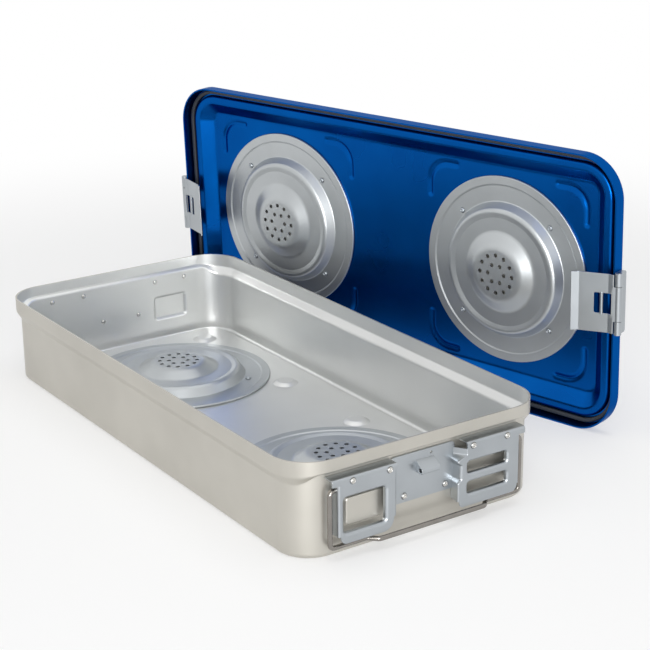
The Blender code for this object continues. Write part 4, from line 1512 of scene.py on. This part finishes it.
@dataclass
class LatchHinge:
    """A hinge leaf, its pin and the folded latch, in the frame of a hinge with Y along the pin."""

    rise: float = 1.0
    gap: float = 0.3
    out: float = 4.2
    knuckle: float = 3.75
    bore: float = 1.6
    pin: float = 1.35
    pin_over: float = 0.2
    half: float = 31.5
    middle: float = 18.0
    slack: float = 0.4
    edge: float = 0.35
    round_steps: int = 40
    leaf_face: float = 0.4
    leaf_height: float = 12.5
    leaf_corner: float = 2.5
    leaf_edge: float = 0.4
    sheet: float = 1.4
    latch_half: float = 30.0
    length: float = 46.0
    neck: float = 5.5
    step: float = 4.0
    set_in: float = 1.6
    flare_length: float = 7.0
    flare: float = 2.8
    bends: Spot = (2.2, 2.2, 5.0)
    slot_half: float = 10.4
    # Where the upper opening and the slot under it start and end, down from the pin
    slot_rows: tuple[Flat, Flat] = ((6.2, 14.9), (17.5, 23.7))
    slot_corner: float = 1.6
    slot_spare: float = 0.3
    bar: float = 1.7
    bar_over: float = 1.0
    fold: float = math.radians(71)

    def tube(self, low: float, high: float, outer: float, inner: float = 0.0) -> Mesh:
        """Turn a tube along the pin.

        Args:
            low: Start along Y.
            high: End along Y.
            outer: Outer radius.
            inner: Radius of the bore, or zero for a rod.

        Returns:
            The mesh.
        """
        turn = Matrix.Rotation(-math.pi / 2, 4, "X")
        skin = Skin()
        if inner > 0.0:
            section = [(inner, low), (outer, low), (outer, high), (inner, high), (inner, low)]
            skin.lathe(section, self.round_steps, turn)
        else:
            for end in skin.lathe([(outer, low), (outer, high)], self.round_steps, turn):
                skin.bm.faces.new(end)
        return worked(skin.mesh("tube"), 0.0, self.edge)

    def leaf(self) -> Mesh:
        """Build the leaf that is welded on the skirt, with its two knuckles.

        Returns:
            The mesh.
        """
        notch = self.knuckle + self.slack
        rounded = round_rectangle((-self.half, 0.0), (self.half, self.leaf_height), self.leaf_corner)
        outline = [
            (-self.half, 0.0),
            (-self.middle, 0.0),
            (-self.middle, notch),
            (self.middle, notch),
            (self.middle, 0.0),
            (self.half, 0.0),
            *rounded[: 2 * (CORNER_STEPS + 1)],
        ]
        skin = Skin()
        skin.fill(skin.outline(outline, "X", self.leaf_face))
        plate = worked(skin.mesh("leaf", (1, 0, 0)), self.leaf_face + self.out - self.gap, self.leaf_edge)
        spans = ((-self.half, -self.middle), (self.middle, self.half))
        knuckles = [self.tube(low, high, self.knuckle, self.bore) for low, high in spans]
        return joined("leaf", [(part, Matrix()) for part in (plate, *knuckles)])

    def pin_rod(self) -> Mesh:
        """Build the hinge pin."""
        return self.tube(-self.half - self.pin_over, self.half + self.pin_over, self.pin)

    def latch(self) -> Mesh:
        """Build the latch hanging straight down, before its fold.

        Returns:
            The mesh.
        """
        start = self.knuckle - self.sheet
        straight = start - self.set_in
        narrow = self.middle - self.slack
        opening, lower = self.slot_rows
        corners = [
            (start, -self.knuckle - self.slack),
            (start, -self.neck),
            (straight, -self.neck - self.step),
            (straight, self.flare_length - self.length),
            (straight + self.flare, -self.length),
        ]
        bent = rounded_path(corners, self.bends)
        path = [(start, 0.0), bent[0], (start, -opening[0])]
        path.extend(point for point in bent if point[1] < -opening[0] - self.slot_spare)
        first_plain = next(index for index, point in enumerate(path) if point[1] < -opening[1])
        path.insert(first_plain, (straight, -opening[1]))
        columns = (-self.latch_half, -narrow, -self.slot_half, self.slot_half, narrow, self.latch_half)
        # Left open: both sides of the roll, the upper opening and the flat that is filled round the slot
        skip = {(0, 0), (0, 4), (first_plain, 1), (first_plain, 2), (first_plain, 3)}
        skip |= {(row, 2) for row in range(2, first_plain)}
        skin = Skin()
        made = skin.loft([[Vector((x, y, z)) for y in columns] for x, z in path], closed=False, skip=skip)
        corner_low, corner_high = (-self.slot_half, -lower[1]), (self.slot_half, -lower[0])
        slot = skin.outline(round_rectangle(corner_low, corner_high, self.slot_corner), "X", straight)
        before, after = made[first_plain][1:-1], made[first_plain + 1][1:-1]
        skin.fill(before + after[::-1], slot)
        plate = worked(skin.mesh("latch", (1, 0, 0)), self.sheet, self.edge, 0.0)
        reach = self.slot_half + self.bar_over
        bar_place = Matrix.Translation((straight, 0, -(opening[1] + lower[0]) / 2))
        bar = self.tube(-reach, reach, self.bar)
        roll = self.tube(-narrow, narrow, self.knuckle, self.bore)
        return joined("latch", [(plate, Matrix()), (bar, bar_place), (roll, Matrix())])


@dataclass
class Rivets:
    """Hollow rivets, one form copied to many places by a node tree."""

    shank: float = 1.6
    head: float = 3.2
    crown: float = 2.304
    height: float = 1.3
    lift_off: float = 0.15
    recess: float = 1.35
    recess_floor: float = 1.08
    recess_depth: float = 1.2
    tail: Flat = (2.752, 1.92)
    tail_gap: float = 0.2
    bends: tuple[float, ...] = (0.3, 0.4, 0.9, 0.0, 0.0, 0.0, 0.0, 0.8)
    bend_steps: int = 4
    steps: int = 28
    seed: int = 7

    def form(self, grip: float) -> Mesh:
        """Turn one rivet with its head over z = 0 and its tail under the grip.

        Args:
            grip: Thickness that it holds.

        Returns:
            The mesh, in millimetres.
        """
        top = self.lift_off + self.height
        hollow = top - self.recess_depth
        under = -grip - self.tail_gap
        corners = [
            (0.0, hollow),
            (self.recess_floor, hollow),
            (self.recess, top),
            (self.crown, top),
            (self.head, self.lift_off),
            (self.shank, self.lift_off),
            (self.shank, under),
            (self.tail[0], under),
            (self.tail[1], under - self.height),
            (0.0, under - self.height),
        ]
        skin = Skin()
        skin.lathe(rounded_path(corners, self.bends, self.bend_steps), self.steps)
        return worked(skin.mesh("rivet"), 0.0, 0.0)

    @staticmethod
    def set_rows(tree: Tree, given: Any) -> Socket:
        """Set a form on each point, facing along the point's own axis and turned by chance about it.

        Args:
            tree: Tree to add to.
            given: Its named inputs.

        Returns:
            The copies.
        """
        form = add_node(tree, "GeometryNodeObjectInfo", {"Object": given["Form"]})
        axis = add_node(tree, "GeometryNodeInputNamedAttribute", {"Name": "facing"}, data_type="FLOAT_VECTOR")
        toward = {"Vector": axis.outputs["Attribute"]}
        stand = add_node(tree, "FunctionNodeAlignRotationToVector", toward, axis="Z")
        # Input three is the upper limit of a random number
        span = {3: 2 * math.pi, "Seed": given["Seed"]}
        chance = add_node(tree, "FunctionNodeRandomValue", span, data_type="FLOAT")
        swing = {"Axis": (0.0, 0.0, 1.0), "Angle": chance.outputs[1]}
        about = add_node(tree, "FunctionNodeAxisAngleToRotation", swing)
        spin = {"Rotation": stand.outputs["Rotation"], "Rotate By": about.outputs["Rotation"]}
        turn = add_node(tree, "FunctionNodeRotateRotation", spin, rotation_space="LOCAL")
        copies = {
            "Points": given["Geometry"],
            "Instance": form.outputs["Geometry"],
            "Rotation": turn.outputs["Rotation"],
        }
        return add_node(tree, "GeometryNodeInstanceOnPoints", copies).outputs["Instances"]

    def rows(self, grip: float, spots: Loop, facing: Spot, finish: Finish) -> Mesh:
        """Copy the rivet to each spot.

        Args:
            grip: Thickness that it holds.
            spots: Place of each rivet, in millimetres.
            facing: The way that the heads look.
            finish: Finish of the rivets.

        Returns:
            One plain mesh of all the rivets.
        """
        form = put("rivet_form", self.form(grip))
        cloud = bpy.data.meshes.new("rivet_points")
        cloud.from_pydata(spots, [], [])
        axis = cloud.attributes.new("facing", "FLOAT_VECTOR", "POINT")
        axis.data.foreach_set("vector", facing * len(spots))
        tree = growing_tree("rivet_rows", {"Form": "Object", "Seed": "Int"}, self.set_rows)
        made = grown(cloud, tree, {"Form": form, "Seed": self.seed, "Finish": finish.material()})
        bpy.data.objects.remove(form, do_unlink=True)
        return made


@dataclass(frozen=True)
class Lamp:
    """One soft lamp, with its place and size in metres and its power in watts."""

    name: str
    place: Spot
    size: Flat
    power: float


@dataclass
class Studio:
    """White floor, soft lamps and the camera, in metres."""

    eye: Spot = (1.37359, -0.88807, 0.65362)
    yaw: float = math.radians(-56.234)
    pitch: float = math.radians(19.122)
    roll: float = math.radians(0.680)
    lens: float = 93.05
    sensor: float = 36.0
    view_end: float = 50.0
    floor: float = 12.0
    floor_colour: str = "F6F6F6"
    floor_roughness: float = 0.9
    floor_gloss: float = 0.1
    shadow_reach: Flat = (0.55, 1.25)
    shadow_wash: float = 0.42
    fill: float = 0.5
    overhead: float = 0.25
    overhead_edge: Flat = (0.78, 0.92)
    aim: Spot = (0.0, 0.0, 0.1)
    lamps: tuple[Lamp, ...] = (
        Lamp("top", (0.0, 0.0, 2.2), (2.4, 2.4), 18.5),
        Lamp("front", (2.6, -1.75, 1.0), (1.8, 1.8), 56.0),
        Lamp("low", (1.95, -1.26, 0.16), (1.2, 0.28), 13.0),
    )

    def camera(self) -> None:
        """Set the camera up where the view was taken from."""
        flat = math.cos(self.pitch)
        ahead = Vector((math.sin(self.yaw) * flat, math.cos(self.yaw) * flat, -math.sin(self.pitch)))
        right = Vector((math.cos(self.yaw), -math.sin(self.yaw), 0.0))
        down = ahead.cross(right)
        level = math.cos(self.roll) * right + math.sin(self.roll) * down
        up = math.sin(self.roll) * right - math.cos(self.roll) * down
        data = bpy.data.cameras.new("camera")
        data.sensor_width = self.sensor
        data.lens = self.lens
        data.clip_end = self.view_end
        camera = put("camera", data)
        turn = Matrix((level, up, -ahead)).transposed().to_4x4()
        camera.matrix_world = Matrix.Translation(self.eye) @ turn
        bpy.context.scene.camera = camera

    def ground(self) -> None:
        """Lay the white floor, which keeps the shadow near the object and is plain white farther out."""
        mesh = bpy.data.meshes.new("floor")
        half = self.floor / 2
        corners = [(-half, -half, 0), (half, -half, 0), (half, half, 0), (-half, half, 0)]
        mesh.from_pydata(corners, [], [(0, 1, 2, 3)])
        paper = bpy.data.materials.new("white paper sweep")
        tree = bare_tree(paper)
        matt = {
            "Base Color": linear_colour(self.floor_colour),
            "Roughness": self.floor_roughness,
            "Specular IOR Level": self.floor_gloss,
        }
        near = add_node(tree, "ShaderNodeBsdfPrincipled", matt)
        far = add_node(tree, "ShaderNodeEmission", {"Color": WHITE, "Strength": 1.0})
        where = add_node(tree, "ShaderNodeTexCoord").outputs["Object"]
        reach = add_node(tree, "ShaderNodeVectorMath", {0: where}, operation="LENGTH").outputs["Value"]
        span = {
            "Value": reach,
            "From Min": self.shadow_reach[0],
            "From Max": self.shadow_reach[1],
            "To Min": self.shadow_wash,
        }
        fade = add_node(tree, "ShaderNodeMapRange", span, interpolation_type="SMOOTHSTEP").outputs["Result"]
        shown = {0: fade, 1: self.seen(tree)}
        lit = add_node(tree, "ShaderNodeMath", shown, operation="MULTIPLY").outputs["Value"]
        both = {"Fac": lit, 1: near.outputs["BSDF"], 2: far.outputs["Emission"]}
        mixed = add_node(tree, "ShaderNodeMixShader", both)
        add_node(tree, "ShaderNodeOutputMaterial", {"Surface": mixed.outputs["Shader"]})
        mesh.materials.append(paper)
        floor = put("floor", mesh)

    def seen(self, tree: Tree) -> Socket:
        """Tell the rays that show the surround, straight or in metal, from those that light the object.

        Args:
            tree: Node tree to add to.

        Returns:
            An output that is one for camera, glossy and transmission rays.
        """
        path = add_node(tree, "ShaderNodeLightPath").outputs
        direct = {0: path["Is Camera Ray"], 1: path["Is Glossy Ray"]}
        shown = add_node(tree, "ShaderNodeMath", direct, operation="MAXIMUM").outputs["Value"]
        every = {0: shown, 1: path["Is Transmission Ray"]}
        return add_node(tree, "ShaderNodeMath", every, operation="MAXIMUM").outputs["Value"]

    def light(self) -> None:
        """Hang the lamps and set the white surround."""
        for plan in self.lamps:
            data = bpy.data.lights.new(plan.name, "AREA")
            data.shape = "RECTANGLE"
            data.size, data.size_y = plan.size
            data.energy = plan.power
            lamp = put(plan.name, data)
            lamp.location = plan.place
            toward = Vector(self.aim) - Vector(plan.place)
            lamp.rotation_euler = toward.to_track_quat("-Z", "Y").to_euler()
        world = bpy.data.worlds.new("studio")
        bpy.context.scene.world = world
        tree = bare_tree(world)
        soft = add_node(tree, "ShaderNodeBackground", {"Color": WHITE, "Strength": self.fill})
        # The surround dims behind the top lamp, so that a level face doesn't mirror both
        where = add_node(tree, "ShaderNodeTexCoord").outputs["Object"]
        height = add_node(tree, "ShaderNodeSeparateXYZ", {"Vector": where}).outputs["Z"]
        span = {
            "Value": height,
            "From Min": self.overhead_edge[0],
            "From Max": self.overhead_edge[1],
            "To Min": 1.0,
            "To Max": self.overhead,
        }
        above = add_node(tree, "ShaderNodeMapRange", span, interpolation_type="SMOOTHSTEP").outputs["Result"]
        white = add_node(tree, "ShaderNodeBackground", {"Color": WHITE, "Strength": above})
        both = {"Fac": self.seen(tree), 1: soft.outputs["Background"], 2: white.outputs["Background"]}
        mixed = add_node(tree, "ShaderNodeMixShader", both)
        add_node(tree, "ShaderNodeOutputWorld", {"Surface": mixed.outputs["Shader"]})
        bpy.context.scene.view_settings.view_transform = "Standard"


@dataclass
class Container:
    """The whole container, built sub-assembly by sub-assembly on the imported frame."""

    stations: Stations
    vents: VentLayout
    rivets: Rivets

    def dress_vents(self, body: str, place: Matrix, panel: float, up: int, sheet: float) -> None:
        """Build the vent plates and their rivets on a panel.

        Args:
            body: Body that carries them, tray or lid.
            place: Frame of the tray or the lid.
            panel: Height of the face that they sit on, in millimetres.
            up: One where they stand on the panel, minus one where they hang under it.
            sheet: Thickness of the panel.
        """
        turn = Matrix.Rotation(0.0 if up > 0 else math.pi, 4, "X")
        for side, (x, y) in zip(Side, self.vents.centres()):
            seat = place @ Matrix.Translation(Vector((x, y, panel)) * MM) @ turn
            node = f"{body}_vent_plate_{side.word}"
            show(f"{node}_pressing", VentPlate().mesh(), seat, BLASTED, body, [node])
        plate = VentPlate.seat + VentPlate.sheet
        spots = lift(self.vents.rivets(), "Z", panel + up * plate)
        mesh = self.rivets.rows(plate + sheet, spots, (0.0, 0.0, up), STAMPED)
        numbers = range(1, self.vents.rivet_count + 1)
        nodes = [f"{body}_vent_rivet_{side.word}_{number}" for side in Side for number in numbers]
        show(f"{body}_vent_rivets", mesh, place, STAMPED, body, nodes)

    def tray(self) -> TrayShell:
        """Build the tray, its vents and their rivets.

        Returns:
            The tray's sizes, for what is fixed on it.
        """
        low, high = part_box("tray_shell")
        size = (high - low) / MM
        shell = TrayShell(length=size.x, width=size.y, height=size.z)
        place = self.stations.tray
        # The inner faces take the paler lining: painted light for the light that fills the tray's inside
        show("tray_pressing", shell.mesh(self.vents), place, SATIN, "tray", ["tray_shell"], PAINTED_LIGHT_LINING)
        self.dress_vents("tray", place, shell.floor_rise + shell.sheet, 1, shell.sheet)
        return shell

    def ends(self, shell: TrayShell) -> None:
        """Build the fittings, rivets and bail of each end.

        Args:
            shell: The tray that they are fixed on.
        """
        _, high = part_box("strike_plate_right")
        fittings = Fittings(wall=shell.wall, top=high.z / MM)
        strike_grip = fittings.gap + fittings.strike_sheet + shell.sheet
        for side in Side:
            place = self.stations.end(side)
            pieces = (
                ("label_holder", fittings.label_holder()),
                ("tag_holder", fittings.tag_holder()),
                ("strike_plate", fittings.strike_plate()),
            )
            for name, mesh in pieces:
                node = f"{name}_{side.word}"
                show(f"{node}_pressing", mesh, place, STAMPED, "tray", [node])
            rows = (
                ("holder_rivet", fittings.depth + shell.sheet, fittings.holder_rivets()),
                ("strike_rivet", strike_grip, fittings.strike_rivets()),
            )
            for name, grip, spots in rows:
                mesh = self.rivets.rows(grip, spots, (1.0, 0.0, 0.0), HEADED)
                nodes = [f"{name}_{side.word}_{number}" for number in range(1, len(spots) + 1)]
                show(f"{name}s_{side.word}", mesh, place, HEADED, "tray", nodes)
            node = f"bail_{side.word}"
            _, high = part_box(node)
            bail = Bail(pivot=(fittings.wall + fittings.pivot_out, high.z / MM - Bail.wire))
            show(f"{node}_wire", bail.mesh(), place, SHADED_STEEL, node, [node])

    def lid(self) -> None:
        """Build the lid, its gasket, vents, rivets, hinges and latches."""
        shell = LidShell()
        place = self.stations.lid
        show("lid_pressing", shell.mesh(self.vents), place, BLUE, "lid", ["lid_shell"])
        show("lid_gasket_ring", shell.gasket(), place, RUBBER, "lid", ["lid_gasket"])
        self.dress_vents("lid", place, shell.panel_rise, -1, shell.sheet)
        hinge = LatchHinge()
        fold = Matrix.Rotation(hinge.fold, 4, "Y")
        for side in Side:
            at = self.stations.hinge(side)
            leaf, pin, latch = (f"{name}_{side.word}" for name in ("hinge_leaf", "hinge_pin", "latch"))
            show(f"{leaf}_plate", hinge.leaf(), at, STAMPED, "lid", [leaf])
            show(f"{pin}_rod", hinge.pin_rod(), at, SHADED_STEEL, "lid", [pin])
            show(f"{latch}_plate", hinge.latch(), at @ fold, STAMPED, latch, [latch])

    def filters(self, nodes: dict[str, bpy.types.Object]) -> None:
        """Dress the filter discs, whose CAD shape is kept.

        Args:
            nodes: CAD nodes by name.
        """
        for name, node in nodes.items():
            if "filter" in name:
                node.data.materials.clear()
                node.data.materials.append(PAPER.material())
                LOG.info("%s: CAD node dressed as %s", name, PAPER.name)


def main() -> None:
    """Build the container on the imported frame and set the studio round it."""
    logging.basicConfig(level=logging.INFO, format="%(message)s")
    for item in list(bpy.data.objects):
        bpy.data.objects.remove(item, do_unlink=True)
    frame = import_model()
    stations = Stations.read(frame["joints"], LatchHinge.rise)
    container = Container(stations, VentLayout(), Rivets())
    shell = container.tray()
    container.ends(shell)
    container.lid()
    container.filters(frame["nodes"])
    studio = Studio()
    studio.camera()
    studio.ground()
    studio.light()


if __name__ == "__main__":
    main()
